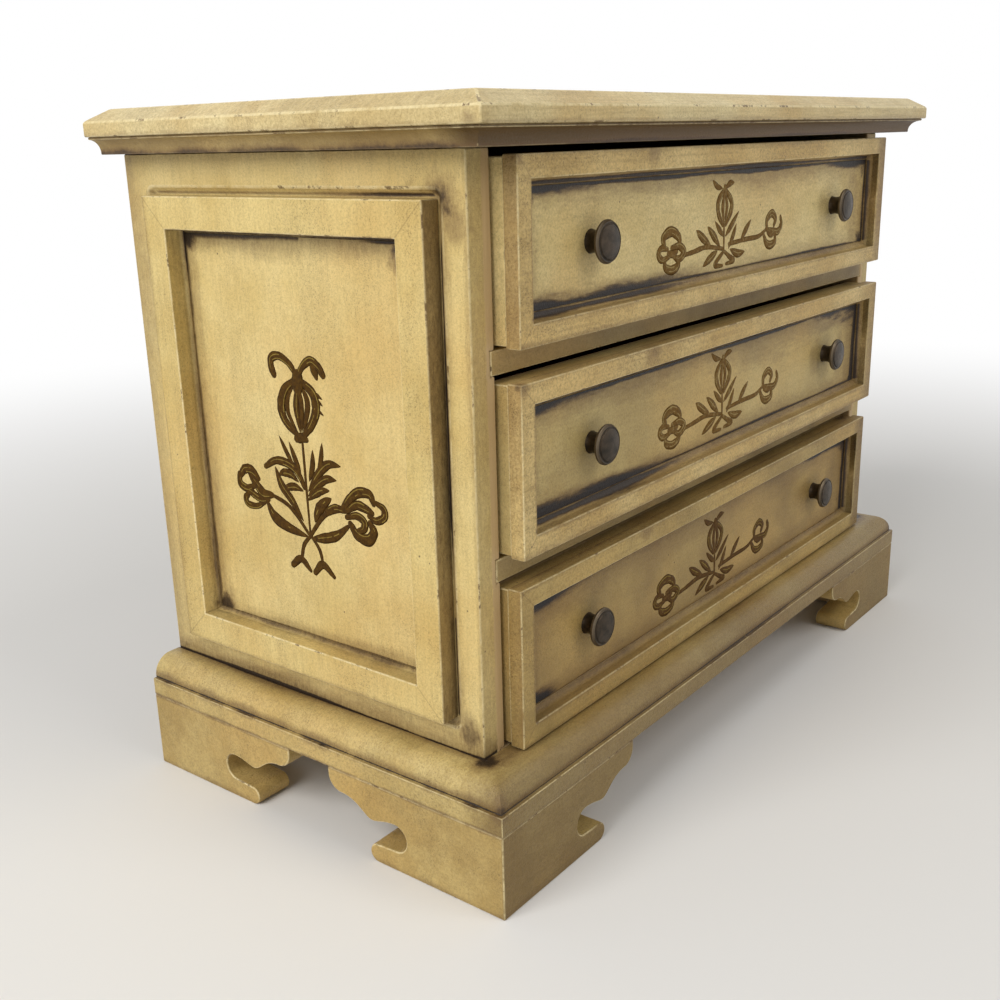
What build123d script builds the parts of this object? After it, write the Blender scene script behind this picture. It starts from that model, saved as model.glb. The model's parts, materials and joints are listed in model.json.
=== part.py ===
from build123d import *
from math import asin, radians, sin, cos, sqrt, tan
import os

# Three-drawer musical jewelry box in antiqued, painted wood.
# X runs to the right, Y to the back and Z up. The origin is on the floor, under the
# middle of the box over everything, the winding key at the back included.

# Case
case_width = 280.0
case_depth = 143.0
side_thickness = 10.0
opening_height = 53.2
drawer_count = 3
rail_height = 7.0
rail_depth = 16.0
housing_depth = 1.8
bottom_thickness = 6.0
dust_panel_thickness = 3.2
back_thickness = 4.0
back_rabbet = 5.0
back_pin_head_radius = 1.2
back_pin_head = 0.6
back_pin_shank = 1.0
back_pins_up = 4
back_pins_across = 3

# Base moulding, side and front projections from the case
base_side_projection = 12.7
base_front_projection = 16.1
base_fascia = 6.4
base_quirk = 0.6
base_step = 1.2
base_round = 7.0

# Bracket feet
foot_height = 27.4
foot_length = 70.4
foot_thickness = 14.0
toe_reach = 53.3
toe_height = 6.9
toe_tip_radius = 3.2
notch_radius = 4.6
lobe_reach = 52.5
lobe_drop = 13.0
shoulder_radius = 5.4
shoulder_drop = 7.8
rear_return_length = 50.0
rear_return_splay = 9.0
glue_block_size = 13.0
glue_block_lift = 1.5

# Top and cornice
top_side_overhang = 13.8
top_front_overhang = 16.45
top_thickness = 8.3
top_bevel_width = 6.2
top_bevel_height = 3.75
cornice_thickness = 5.35
cornice_strip_width = 30.0
cornice_flat = 1.4
cornice_side_foot = 8.25
cornice_lip = 0.8
cornice_hollow = 1.1

# Raised frame on each side
side_frame_front_margin = 11.2
side_frame_rear_margin = 13.3
side_frame_top_margin = 12.7
side_frame_bottom_margin = 10.0
side_frame_width = 10.3
side_frame_proud = 4.75
side_cove = 1.3
field_depth = 2.0
field_splay = 48.0
field_corner = 2.5
groove_width = 0.4

# Drawers, from the bottom one up
front_proud = (6.9, 8.5, 8.5)
front_side_gap = 0.5
front_bottom_gap = 0.5
front_top_gap = 1.9
front_board_thickness = 8.0
front_lip = 0.6
front_frame_width = 6.45
front_frame_thickness = 5.0
front_cove = 2.2
frame_toe = 0.2
running_gap = 0.3
box_side_gap = 0.8
box_height = 43.0
box_wall = 5.0
box_bottom_thickness = 3.0
box_bottom_rise = 2.0
box_groove = 2.0
lining_thickness = 1.2
lining_pad_thickness = 2.4
lining_margin = 2.0
stop_width = 12.0
stop_height = 9.0
stop_depth = 4.6
music_stop_depth = 26.2

# Knobs
knob_inset = 52.2
knob_radius = 6.35
knob_projection = 7.2
knob_disc_thickness = 1.9
knob_dome = 0.5
knob_rim = 0.5
knob_waist = 2.2
knob_stem_radius = 3.3
knob_base_radius = 3.6
knob_screw_radius = 1.5
knob_screw_depth = 4.5
screw_clearance = 0.05
screw_head_radius = 3.0
screw_head_height = 1.8

# Musical movement on the inside of the back
movement_drop = 5.0
bedplate_thickness = 2.0
bedplate_rim = 4.0
bedplate_corner = 2.0
bedplate_below = 14.0
bedplate_above = 25.0
barrel_offset = 13.0
barrel_radius = 12.0
barrel_height = 8.0
barrel_edge = 1.0
gear_module = 0.656
crown_teeth = 29
pinion_leaves = 9
pinion_addendum = 0.5
gear_tooth_thickness = 0.6
crown_tooth_height = 1.3
crown_face = 1.8
crown_disc = 1.2
pinion_length = 1.4
mesh_depth = 1.05
shaft_radius = 1.5
shaft_clearance = 0.05
shaft_proud = 0.5
arbor_radius = 1.0
comb_teeth = 18
tooth_pitch = 1.2
tooth_slot = 0.3
comb_thickness = 1.6
comb_base = 6.0
comb_short_slot = 8.0
comb_long_slot = 11.0
comb_screw_radius = 1.2
comb_screw_depth = 5.0
comb_screw_inset = 4.3
cylinder_radius = 6.4
cylinder_pin_radius = 0.2
cylinder_pin_height = 0.8
pins_per_track = 3
track_turn = 137.5
tune_shift = 25.0
tune_steps = 4
pin_to_comb = 0.4
lug_thickness = 1.4
lug_width = 6.0
cylinder_margin = 0.6
governor_width = 8.0
governor_depth = 18.0
governor_height = 24.0
governor_bearing = 3.0
governor_corner = 1.0
lever_length = 20.0
lever_width = 3.0
lever_eye_radius = 2.0
lever_pin_radius = 1.0
lever_ear = 1.5
lever_thickness = 0.8
lever_gap = 0.4
key_gap = 1.5
key_hub_radius = 4.0
key_hub_length = 6.5
key_reach = 16.0
key_span = 26.0
key_blade = 2.2
movement_screw_radius = 1.4

# Levels and planes that follow from the sizes above
half_width = case_width / 2
case_front = -(case_depth + key_reach - top_front_overhang) / 2
case_back = case_front + case_depth
panel_front = case_back - back_thickness
base_top = foot_height + base_fascia + base_quirk + base_round
opening_step = opening_height + rail_height
case_top = base_top + drawer_count * opening_height + (drawer_count - 1) * rail_height
inner_half = half_width - side_thickness
top_bottom = case_top + cornice_thickness
front_height = opening_height - front_bottom_gap - front_top_gap
front_half = inner_half - front_side_gap
box_half = inner_half - box_side_gap


def opening_floor(index):
    return base_top + index * opening_step


def front_face(index):
    return case_front - front_proud[index]


def field_face(index):
    return front_face(index) + front_frame_thickness


def board_back(index):
    return field_face(index) + front_board_thickness


def stop_front(index):
    # The stops of the top drawer reach further forward, to keep its box off the movement.
    if index == drawer_count - 1:
        return panel_front - music_stop_depth
    return panel_front - stop_depth


def box_back(index):
    return stop_front(index) - running_gap


def box_floor(index):
    return opening_floor(index) + running_gap


def block(x0, x1, y0, y1, z0, z1):
    centre = Pos((x0 + x1) / 2, (y0 + y1) / 2, (z0 + z1) / 2)
    return centre * Box(x1 - x0, y1 - y0, z1 - z0)


def y_rod(x, z, radius, y0, y1):
    return Pos(x, (y0 + y1) / 2, z) * Rot(90, 0, 0) * Cylinder(radius, y1 - y0)


def x_rod(y, z, radius, x0, x1):
    return Pos((x0 + x1) / 2, y, z) * Rot(0, 90, 0) * Cylinder(radius, x1 - x0)


def both_sides(piece):
    return [piece, mirror(piece, about=Plane.YZ)]


def write(name, *solids):
    group = solids[0] if len(solids) == 1 else Compound(children=list(solids))
    export_step(group, "parts/" + name + ".step")


def quarter_arc(start, end, centre):
    radius = sqrt((start[0] - centre[0]) ** 2 + (start[1] - centre[1]) ** 2)
    across = (start[0] + end[0] - 2 * centre[0], start[1] + end[1] - 2 * centre[1])
    size = sqrt(across[0] ** 2 + across[1] ** 2)
    middle = (centre[0] + radius * across[0] / size, centre[1] + radius * across[1] / size)
    return ThreePointArc(start, middle, end)


def plan_prism(points, z0, z1):
    face = make_face(Polyline(*points, close=True))
    return extrude(Pos(0, 0, z0) * face, amount=z1 - z0)


def coved_member_section(width, thickness, cove):
    # Section across a frame member: x from its outer edge inwards, y from its face back.
    foot = width + cove
    cove_top = thickness - frame_toe - cove
    lines = Polyline((width, cove_top), (width, 0), (0, 0), (0, thickness), (foot, thickness))
    lines += Line((foot, thickness), (foot, thickness - frame_toe))
    lines += quarter_arc((foot, thickness - frame_toe), (width, cove_top), (foot, cove_top))
    return make_face(lines)


def mitred_frame(width, height, member, thickness, cove):
    # Four mitred members about the origin, their faces on the plane y = 0, their backs at +Y.
    total = member + cove
    section = coved_member_section(member, thickness, cove)
    rail_plane = Plane(origin=(-width / 2, 0, -height / 2), x_dir=(0, 0, 1), z_dir=(1, 0, 0))
    stile_plane = Plane(origin=(-width / 2, 0, -height / 2), x_dir=(1, 0, 0), z_dir=(0, 0, 1))
    rail = extrude(rail_plane * mirror(section, about=Plane.XZ), amount=width)
    stile = extrude(stile_plane * section, amount=height)
    x_out, z_out = width / 2, height / 2
    x_in, z_in = x_out - total, z_out - total
    rail_plan = [(-x_out, -z_out), (x_out, -z_out), (x_in, -z_in), (-x_in, -z_in)]
    stile_plan = [(-x_out, -z_out), (-x_in, -z_in), (-x_in, z_in), (-x_out, z_out)]
    rail = rail & extrude(Plane.XZ * make_face(Polyline(*rail_plan, close=True)), amount=-thickness)
    stile = stile & extrude(Plane.XZ * make_face(Polyline(*stile_plan, close=True)), amount=-thickness)
    return [rail, mirror(rail, about=Plane.XY), stile, mirror(stile, about=Plane.YZ)]


def moulding_strips(section, half, front, back, side_width, front_width, z0, z1):
    # Front strip and two side strips of one section, mitred at the front corners.
    # The section is drawn for a given width, with x running inwards from the outermost edge.
    side_plane = Plane(origin=(-half, back, 0), x_dir=(1, 0, 0), z_dir=(0, -1, 0))
    front_plane = Plane(origin=(-half, front, 0), x_dir=(0, 1, 0), z_dir=(1, 0, 0))
    side = extrude(side_plane * section(side_width), amount=back - front)
    strip = extrude(front_plane * section(front_width), amount=2 * half)
    x_in, y_in = half - side_width, front + side_width
    side_plan = [(-half, front), (-x_in, y_in), (-x_in, back), (-half, back)]
    mitre_plan = [(-half, front), (half, front), (x_in, y_in), (-x_in, y_in)]
    side = side & plan_prism(side_plan, z0, z1)
    middle = block(-x_in, x_in, front, front + front_width, z0, z1)
    strip = strip & (plan_prism(mitre_plan, z0, z1) + middle)
    return [strip] + both_sides(side)


def base_section(width):
    # Fascia at the foot of the section, a quirk and step above it, then a quarter round.
    edge = base_step
    fascia_top = foot_height + base_fascia
    quirk_top = fascia_top + base_quirk
    round_end = edge + base_round
    lines = Polyline((round_end, base_top), (width, base_top), (width, foot_height), (0, foot_height))
    lines += Polyline((0, foot_height), (0, fascia_top), (edge, fascia_top), (edge, quirk_top))
    lines += quarter_arc((edge, quirk_top), (round_end, base_top), (round_end, quirk_top))
    return make_face(lines)


def cornice_section(width):
    # Cove under the top: foot at its outer projection, then a hollow up to a small lip.
    foot_in = top_side_overhang - cornice_side_foot
    lip_in = cornice_flat
    lip_bottom = top_bottom - cornice_lip
    foot_top = case_top + cornice_lip
    lines = Polyline((lip_in, lip_bottom), (lip_in, top_bottom), (width, top_bottom))
    lines += Polyline((width, top_bottom), (width, case_top), (foot_in, case_top))
    lines += Line((foot_in, case_top), (foot_in, foot_top))
    lines += SagittaArc((foot_in, foot_top), (lip_in, lip_bottom), -cornice_hollow)
    return make_face(lines)


def top_board():
    x_out = half_width + top_side_overhang
    y_front = case_front - top_front_overhang
    z_edge = top_bottom + top_thickness - top_bevel_height
    centre = Pos(0, (y_front + case_back) / 2, z_edge)
    depth = case_back - y_front
    edge = block(-x_out, x_out, y_front, case_back, top_bottom, z_edge)
    inset = 2 * top_bevel_width
    lower = centre * Rectangle(2 * x_out, depth)
    upper = centre * Pos(0, 0, top_bevel_height) * Rectangle(2 * x_out - inset, depth - inset)
    return edge + loft([lower, upper])


def cornice_moulding():
    half = half_width + top_side_overhang
    front = case_front - top_front_overhang
    front_strip = cornice_strip_width + top_front_overhang - top_side_overhang
    return moulding_strips(
        cornice_section, half, front, case_back, cornice_strip_width, front_strip, case_top, top_bottom
    )


def sub_top():
    x_in = half_width + top_side_overhang - cornice_strip_width
    y_in = case_front - top_side_overhang + cornice_strip_width
    return block(-x_in, x_in, y_in, case_back, case_top, top_bottom)


def base_moulding():
    half = half_width + base_side_projection
    front = case_front - base_front_projection
    side_width = base_side_projection
    front_width = base_front_projection
    return moulding_strips(
        base_section, half, front, case_back, side_width, front_width, foot_height, base_top
    )


def side_frame_bounds():
    y0 = case_front + side_frame_front_margin
    y1 = case_back - side_frame_rear_margin
    z0 = base_top + side_frame_bottom_margin
    z1 = case_top - side_frame_top_margin
    return y0, y1, z0, z1


def side_board():
    # Left side: a sunk field with splayed edges outside, housings and rabbet inside.
    x_in = -inner_half
    board = block(-half_width, x_in, case_front, case_back, foot_height, case_top)
    y0, y1, z0, z1 = side_frame_bounds()
    splay_width = field_depth * tan(radians(field_splay))
    spread = 2 * (groove_width + splay_width)
    field = RectangleRounded(y1 - y0 + spread, z1 - z0 + spread, field_corner)
    centre = (-half_width, (y0 + y1) / 2, (z0 + z1) / 2)
    field_plane = Plane(origin=centre, x_dir=(0, 1, 0), z_dir=(1, 0, 0))
    board -= extrude(field_plane * field, amount=field_depth, taper=field_splay)
    housing = x_in - housing_depth
    rail_back = case_front + rail_depth
    for index in range(1, drawer_count):
        floor = opening_floor(index)
        board -= block(housing, x_in, case_front, rail_back, floor - rail_height, floor)
        board -= block(housing, x_in, rail_back, panel_front, floor - dust_panel_thickness, floor)
    board -= block(housing, x_in, case_front, panel_front, base_top - bottom_thickness, base_top)
    low = base_top - bottom_thickness
    board -= block(x_in - back_rabbet, x_in, panel_front, case_back, low, case_top)
    return board


def side_frame():
    y0, y1, z0, z1 = side_frame_bounds()
    thickness = field_depth + side_frame_proud
    members = mitred_frame(y1 - y0, z1 - z0, side_frame_width, thickness, side_cove)
    place = Pos(-half_width - side_frame_proud, (y0 + y1) / 2, (z0 + z1) / 2) * Rot(0, 0, -90)
    return [place * member for member in members]


def back_panel():
    half = inner_half + back_rabbet
    low = base_top - bottom_thickness
    panel = block(-half, half, panel_front, case_back, low, case_top)
    key_hole = shaft_radius + 2 * key_gap
    panel -= y_rod(-barrel_offset, movement_axis_z(), key_hole, panel_front, case_back)
    for x, z in movement_screw_spots():
        panel -= y_rod(x, z, movement_screw_radius + screw_clearance, panel_front, case_back)
    for x, z in back_pin_spots():
        panel -= square_shank(x, z, back_pin_shank + 2 * screw_clearance)
    return panel


def square_shank(x, z, size):
    half = size / 2
    return block(x - half, x + half, panel_front, case_back, z - half, z + half)


def back_pin_spots():
    # Up both sides over the rabbets, and along the edge of the bottom board.
    half = inner_half + back_rabbet / 2
    z_low = base_top - bottom_thickness / 2
    z_first = z_low + back_rabbet
    rise = (case_top - back_rabbet - z_first) / (back_pins_up - 1)
    spots = [(side * half, z_first + step * rise) for side in (-1, 1) for step in range(back_pins_up)]
    spacing = 2 * half / (back_pins_across + 1)
    return spots + [(-half + spacing * (step + 1), z_low) for step in range(back_pins_across)]


def back_pins():
    pins = []
    for x, z in back_pin_spots():
        head = y_rod(x, z, back_pin_head_radius, case_back, case_back + back_pin_head)
        pins.append(head + square_shank(x, z, back_pin_shank))
    return pins


def bottom_board():
    half = inner_half + housing_depth
    return block(-half, half, case_front, panel_front, base_top - bottom_thickness, base_top)


def drawer_rail(index):
    half = inner_half + housing_depth
    floor = opening_floor(index)
    return block(-half, half, case_front, case_front + rail_depth, floor - rail_height, floor)


def dust_panel(index):
    half = inner_half + housing_depth
    floor = opening_floor(index)
    low = floor - dust_panel_thickness
    return block(-half, half, case_front + rail_depth, panel_front, low, floor)


def drawer_stops(index):
    floor = opening_floor(index)
    x_end = -inner_half + stop_width
    return both_sides(
        block(-inner_half, x_end, stop_front(index), panel_front, floor, floor + stop_height)
    )


def bracket_outline():
    # Outline from the corner at (0, 0), along the floor to the toe, round the notch and up.
    top = foot_height
    tip = toe_tip_radius
    notch_x = toe_reach - 2 * tip - notch_radius
    notch_end = (notch_x - notch_radius, toe_height + notch_radius)
    notch_top = toe_height + 2 * notch_radius
    lobe_z = foot_height - lobe_drop
    shoulder_z = foot_height - shoulder_drop
    shoulder_reach = foot_length - shoulder_radius
    lines = Polyline((foot_length, top), (0, top), (0, 0), (toe_reach - tip, 0))
    lines += ThreePointArc((toe_reach - tip, 0), (toe_reach, tip), (toe_reach - tip, 2 * tip))
    lines += Line((toe_reach - tip, 2 * tip), (notch_x, toe_height))
    lines += ThreePointArc((notch_x, toe_height), notch_end, (notch_x, notch_top))
    lines += Spline(
        (notch_x, notch_top),
        (lobe_reach, lobe_z),
        (shoulder_reach, shoulder_z),
        tangents=[(1, 0), (1, 0)],
    )
    lines += quarter_arc(
        (shoulder_reach, shoulder_z),
        (foot_length, shoulder_z + shoulder_radius),
        (shoulder_reach, shoulder_z + shoulder_radius),
    )
    lines += Line((foot_length, shoulder_z + shoulder_radius), (foot_length, top))
    return make_face(lines)


def mitred_bracket(outline, length, corner, along, inward):
    # One bracket of a foot, cut at 45 degrees where it meets its partner.
    up = Vector(0, 0, 1)
    normal = Vector(*along).cross(up)
    depth = foot_thickness if normal.dot(Vector(*inward)) > 0 else -foot_thickness
    plane = Plane(origin=(corner[0], corner[1], 0), x_dir=along, z_dir=tuple(normal))
    bracket = extrude(plane * outline, amount=depth)
    plan = []
    for a, b in ((0, 0), (foot_thickness, foot_thickness), (length, foot_thickness), (length, 0)):
        x = corner[0] + a * along[0] + b * inward[0]
        y = corner[1] + a * along[1] + b * inward[1]
        plan.append((x, y))
    return bracket & plan_prism(plan, 0, foot_height)


def rear_return_outline():
    foot_end = rear_return_length - rear_return_splay
    points = [(0, 0), (foot_end, 0), (rear_return_length, foot_height), (0, foot_height)]
    return make_face(Polyline(*points, close=True))


def front_foot():
    corner = (-half_width - base_side_projection, case_front - base_front_projection)
    outline = bracket_outline()
    side = mitred_bracket(outline, foot_length, corner, (0, 1, 0), (1, 0, 0))
    front = mitred_bracket(outline, foot_length, corner, (1, 0, 0), (0, 1, 0))
    return [side, front]


def rear_foot():
    corner = (-half_width - base_side_projection, case_back)
    side = mitred_bracket(bracket_outline(), foot_length, corner, (0, -1, 0), (1, 0, 0))
    back = mitred_bracket(rear_return_outline(), rear_return_length, corner, (1, 0, 0), (0, -1, 0))
    return [side, back]


def glue_blocks():
    x0 = -half_width - base_side_projection + foot_thickness
    x1 = x0 + glue_block_size
    front = case_front - base_front_projection + foot_thickness
    back = case_back - foot_thickness
    z0 = glue_block_lift
    blocks = both_sides(block(x0, x1, front, front + glue_block_size, z0, foot_height))
    return blocks + both_sides(block(x0, x1, back - glue_block_size, back, z0, foot_height))


def front_bottom(index):
    return opening_floor(index) + front_bottom_gap


def knob_spots(index):
    x = half_width - knob_inset
    z = front_bottom(index) + front_height / 2
    return [(-x, z), (x, z)]


def box_bottom_levels(index):
    low = box_floor(index) + box_bottom_rise
    return low, low + box_bottom_thickness


def front_board(index):
    half = front_half - front_lip
    low = front_bottom(index)
    back = board_back(index)
    board = block(-half, half, field_face(index), back, low + front_lip, low + front_height - front_lip)
    z0, z1 = box_bottom_levels(index)
    groove_half = box_half - box_wall + box_groove
    board -= block(-groove_half, groove_half, back - box_groove, back, z0, z1)
    for x, z in knob_spots(index):
        board -= y_rod(x, z, knob_screw_radius + screw_clearance, field_face(index), back)
        board -= y_rod(x, z, screw_head_radius + screw_clearance, back - screw_head_height, back)
    return board


def front_frame(index):
    width = 2 * front_half
    members = mitred_frame(width, front_height, front_frame_width, front_frame_thickness, front_cove)
    place = Pos(0, front_face(index), front_bottom(index) + front_height / 2)
    return [place * member for member in members]


def box_sides(index):
    floor = box_floor(index)
    z0, z1 = box_bottom_levels(index)
    inside = -box_half + box_wall
    side = block(-box_half, inside, board_back(index), box_back(index), floor, floor + box_height)
    side -= block(inside - box_groove, inside, board_back(index), box_back(index), z0, z1)
    return both_sides(side)


def box_rear(index):
    half = box_half - box_wall
    back = box_back(index)
    low = box_bottom_levels(index)[1]
    return block(-half, half, back - box_wall, back, low, box_floor(index) + box_height)


def box_bottom(index):
    half = box_half - box_wall + box_groove
    z0, z1 = box_bottom_levels(index)
    return block(-half, half, board_back(index) - box_groove, box_back(index), z0, z1)


def lining(index):
    half = box_half - box_wall
    y0, y1 = board_back(index), box_back(index) - box_wall
    z0 = box_bottom_levels(index)[1]
    z1 = box_floor(index) + box_height - lining_margin
    skin = lining_thickness
    tray = block(-half, half, y0, y1, z0, z1)
    return tray - block(-half + skin, half - skin, y0 + skin, y1 - skin, z0 + lining_pad_thickness, z1)


def knob_section():
    # Half section of a knob: x is the radius, y runs back from the panel at 0.
    rim = knob_rim
    disc_back = knob_projection - knob_disc_thickness - knob_dome
    disc_front = disc_back + knob_disc_thickness
    flare = (knob_base_radius + knob_radius) / 2
    face_radius = knob_radius - 2 * rim
    bore = knob_screw_radius + screw_clearance
    lines = Polyline((0, -knob_screw_depth), (bore, -knob_screw_depth), (bore, 0), (knob_base_radius, 0))
    lines += ThreePointArc((knob_base_radius, 0), (knob_stem_radius, -knob_waist), (flare, -disc_back))
    lines += Polyline(
        (flare, -disc_back),
        (knob_radius - rim, -disc_back),
        (knob_radius, -disc_back - rim),
        (knob_radius, -disc_back - 2 * rim),
        (knob_radius - rim, -disc_front + rim / 4),
        (face_radius, -disc_front + rim / 2),
        (face_radius - rim / 2, -disc_front),
    )
    lines += Line((0, -knob_projection), (0, -knob_screw_depth))
    dome_edge = face_radius - rim / 2
    dome_radius = (dome_edge**2 + knob_dome**2) / (2 * knob_dome)
    half_turn = asin(dome_edge / dome_radius) / 2
    dome_middle = (dome_radius * sin(half_turn), dome_radius * (1 - cos(half_turn)) - knob_projection)
    lines += ThreePointArc((dome_edge, -disc_front), dome_middle, (0, -knob_projection))
    return make_face(lines)


def knobs(index):
    knob = revolve(knob_section(), axis=Axis.Y)
    return [Pos(x, field_face(index), z) * knob for x, z in knob_spots(index)]


def knob_screws(index):
    back = board_back(index)
    tip = field_face(index) - knob_screw_depth
    screws = []
    for x, z in knob_spots(index):
        head = y_rod(x, z, screw_head_radius, back - screw_head_height, back)
        screws.append(head + y_rod(x, z, knob_screw_radius, tip, back - screw_head_height))
    return screws


def forward(reach):
    return panel_front - reach


def movement_axis_z():
    return opening_floor(drawer_count - 1) + opening_height / 2 - movement_drop


barrel_top = bedplate_thickness + barrel_height
wheel_base = barrel_top + running_gap
wheel_radius = crown_teeth * gear_module / 2
crown_top = wheel_base + crown_disc + crown_tooth_height
pinion_tip_radius = pinion_leaves * gear_module / 2 + pinion_addendum
arbor_reach = crown_top + pinion_tip_radius - mesh_depth
lug_left = -barrel_offset + barrel_radius + 2 * running_gap
cylinder_left = lug_left + lug_thickness + cylinder_margin
cylinder_length = comb_teeth * tooth_pitch + 2 * cylinder_margin
governor_left = cylinder_left + cylinder_length + 2 * cylinder_margin
governor_right = governor_left + governor_width
comb_tip = cylinder_radius + cylinder_pin_height + pin_to_comb
comb_root = comb_tip + comb_long_slot
comb_left = cylinder_left + cylinder_margin
comb_right = comb_left + comb_teeth * tooth_pitch
comb_back = arbor_reach - comb_thickness / 2
comb_front = arbor_reach + comb_thickness / 2
bedplate_left = -barrel_offset - barrel_radius - bedplate_rim
bedplate_right = governor_right + bedplate_rim


def movement_screw_spots():
    axis_z = movement_axis_z()
    high = axis_z + bedplate_above - bedplate_rim
    low = axis_z - bedplate_below + bedplate_rim
    left = bedplate_left + bedplate_rim
    right = bedplate_right - bedplate_rim / 2
    return [(left, high), (right, high), (cylinder_left, low)]


def comb_screw_spots():
    z = movement_axis_z() + comb_root + comb_base / 2
    return [(comb_left + comb_screw_inset, z), (comb_right - comb_screw_inset, z)]


def bedplate():
    axis_z = movement_axis_z()
    low, high = axis_z - bedplate_below, axis_z + bedplate_above
    plate = block(bedplate_left, bedplate_right, forward(bedplate_thickness), panel_front, low, high)
    plate = fillet(plate.edges().filter_by(Axis.Y), bedplate_corner)
    lug_top = forward(arbor_reach + lug_width / 2)
    lug_base = forward(bedplate_thickness)
    lug_right = lug_left + lug_thickness
    lug_half = lug_width / 2
    plate += block(lug_left, lug_right, lug_top, lug_base, axis_z - lug_half, axis_z + lug_half)
    seat_low, seat_high = axis_z + comb_root, axis_z + comb_root + comb_base
    plate += block(comb_left, comb_right, forward(comb_back), lug_base, seat_low, seat_high)
    bore = arbor_radius + shaft_clearance
    plate -= x_rod(forward(arbor_reach), axis_z, bore, lug_left, lug_right)
    plate -= y_rod(-barrel_offset, axis_z, shaft_radius + shaft_clearance, lug_base, panel_front)
    for x, z in movement_screw_spots():
        plate -= y_rod(x, z, movement_screw_radius + screw_clearance, lug_base, panel_front)
    screw_hole = comb_screw_radius + screw_clearance
    for x, z in comb_screw_spots():
        plate -= y_rod(x, z, screw_hole, forward(comb_back), forward(comb_back - comb_screw_depth))
    return plate


def spring_barrel():
    axis_z = movement_axis_z()
    top, base = forward(barrel_top), forward(bedplate_thickness)
    barrel = y_rod(-barrel_offset, axis_z, barrel_radius, top, base)
    barrel = fillet(barrel.edges().sort_by(Axis.Y)[0], barrel_edge)
    return barrel - y_rod(-barrel_offset, axis_z, shaft_radius + shaft_clearance, top, base)


def great_wheel():
    # Crown wheel: its teeth stand forward from the rim and drive the cylinder's pinion.
    axis_z = movement_axis_z()
    x = -barrel_offset
    base, disc_front, top = forward(wheel_base), forward(wheel_base + crown_disc), forward(crown_top)
    wheel = y_rod(x, axis_z, wheel_radius + crown_face / 2, disc_front, base)
    tooth = Box(crown_face, crown_tooth_height, gear_tooth_thickness)
    tooth = Pos(wheel_radius, (disc_front + top) / 2, 0) * tooth
    teeth = []
    for step in range(crown_teeth):
        angle = (step + 0.5) * 360 / crown_teeth
        teeth.append(Pos(x, 0, axis_z) * Rot(0, angle, 0) * tooth)
    wheel = wheel + teeth
    return wheel - y_rod(x, axis_z, shaft_radius + shaft_clearance, top, base)


def winding_shaft():
    start = forward(wheel_base + crown_disc + shaft_proud)
    end = case_back + key_gap + key_hub_length - shaft_radius
    return y_rod(-barrel_offset, movement_axis_z(), shaft_radius, start, end)


def winding_key():
    # Butterfly key: a hub with two round wings in one plane.
    x, axis_z = -barrel_offset, movement_axis_z()
    near = case_back + key_gap
    far = case_back + key_reach
    wing_radius = (far - near - key_gap) / 2
    wing_y = far - wing_radius
    wing_x = key_span / 2 - wing_radius
    hub_end = near + key_hub_length
    key = y_rod(x, axis_z, key_hub_radius, near, hub_end)
    low, high = axis_z - key_blade / 2, axis_z + key_blade / 2
    key += block(x - wing_x, x + wing_x, near + key_gap, wing_y, low, high)
    for side in (-1, 1):
        key += Pos(x + side * wing_x, wing_y, axis_z) * Cylinder(wing_radius, key_blade)
    return key - y_rod(x, axis_z, shaft_radius + shaft_clearance, near, hub_end - shaft_radius)


def pin_cylinder():
    axis_z = movement_axis_z()
    y = forward(arbor_reach)
    drum = x_rod(y, axis_z, cylinder_radius, cylinder_left, cylinder_left + cylinder_length)
    pins = []
    width = 2 * cylinder_pin_radius
    height = 2 * cylinder_pin_height
    for track in range(comb_teeth):
        for repeat in range(pins_per_track):
            angle = track * track_turn + repeat * 360 / pins_per_track
            angle += tune_shift * (track * repeat % tune_steps)
            x = comb_left + (track + 0.5) * tooth_pitch
            pin = Pos(0, 0, cylinder_radius) * Box(width, width, height)
            pins.append(Pos(x, y, axis_z) * Rot(angle, 0, 0) * pin)
    drum = drum + pins
    bore = arbor_radius + shaft_clearance
    return drum - x_rod(y, axis_z, bore, cylinder_left, cylinder_left + cylinder_length)


def cylinder_arbor():
    # Arbor with the pinion leaves at its barrel end, one gap facing the crown wheel.
    axis_z = movement_axis_z()
    y = forward(arbor_reach)
    pinion_x = -barrel_offset + wheel_radius
    left = pinion_x - pinion_length
    arbor = x_rod(y, axis_z, arbor_radius, left, governor_left + governor_bearing)
    leaf_length = pinion_tip_radius
    leaf = Pos(pinion_x, leaf_length / 2, 0) * Box(pinion_length, leaf_length, gear_tooth_thickness)
    leaves = []
    for step in range(pinion_leaves):
        leaves.append(Pos(0, y, axis_z) * Rot(step * 360 / pinion_leaves, 0, 0) * leaf)
    return arbor + leaves


def comb():
    axis_z = movement_axis_z()
    tip, root, top = axis_z + comb_tip, axis_z + comb_root, axis_z + comb_root + comb_base
    plate = block(comb_left, comb_right, forward(comb_front), forward(comb_back), tip, top)
    spread = comb_long_slot - comb_short_slot
    slots = []
    for step in range(comb_teeth + 1):
        x = comb_left + step * tooth_pitch
        slot_end = tip + comb_long_slot - spread * step / comb_teeth
        half = tooth_slot / 2
        slots.append(block(x - half, x + half, forward(comb_front), forward(comb_back), tip, slot_end))
    plate = plate - slots
    screw_hole = comb_screw_radius + screw_clearance
    for x, z in comb_screw_spots():
        plate -= y_rod(x, z, screw_hole, forward(comb_front), forward(comb_back))
    return plate


def comb_screws():
    screws = []
    radius = comb_screw_radius
    tip = forward(comb_back - comb_screw_depth)
    for x, z in comb_screw_spots():
        head = y_rod(x, z, 2 * radius, forward(comb_front + radius), forward(comb_front))
        screws.append(head + y_rod(x, z, radius, forward(comb_front), tip))
    return screws


def lever_plane_y():
    # Front face of the stop lever, just behind the closed top drawer.
    return box_back(drawer_count - 1) + lever_gap


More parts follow.
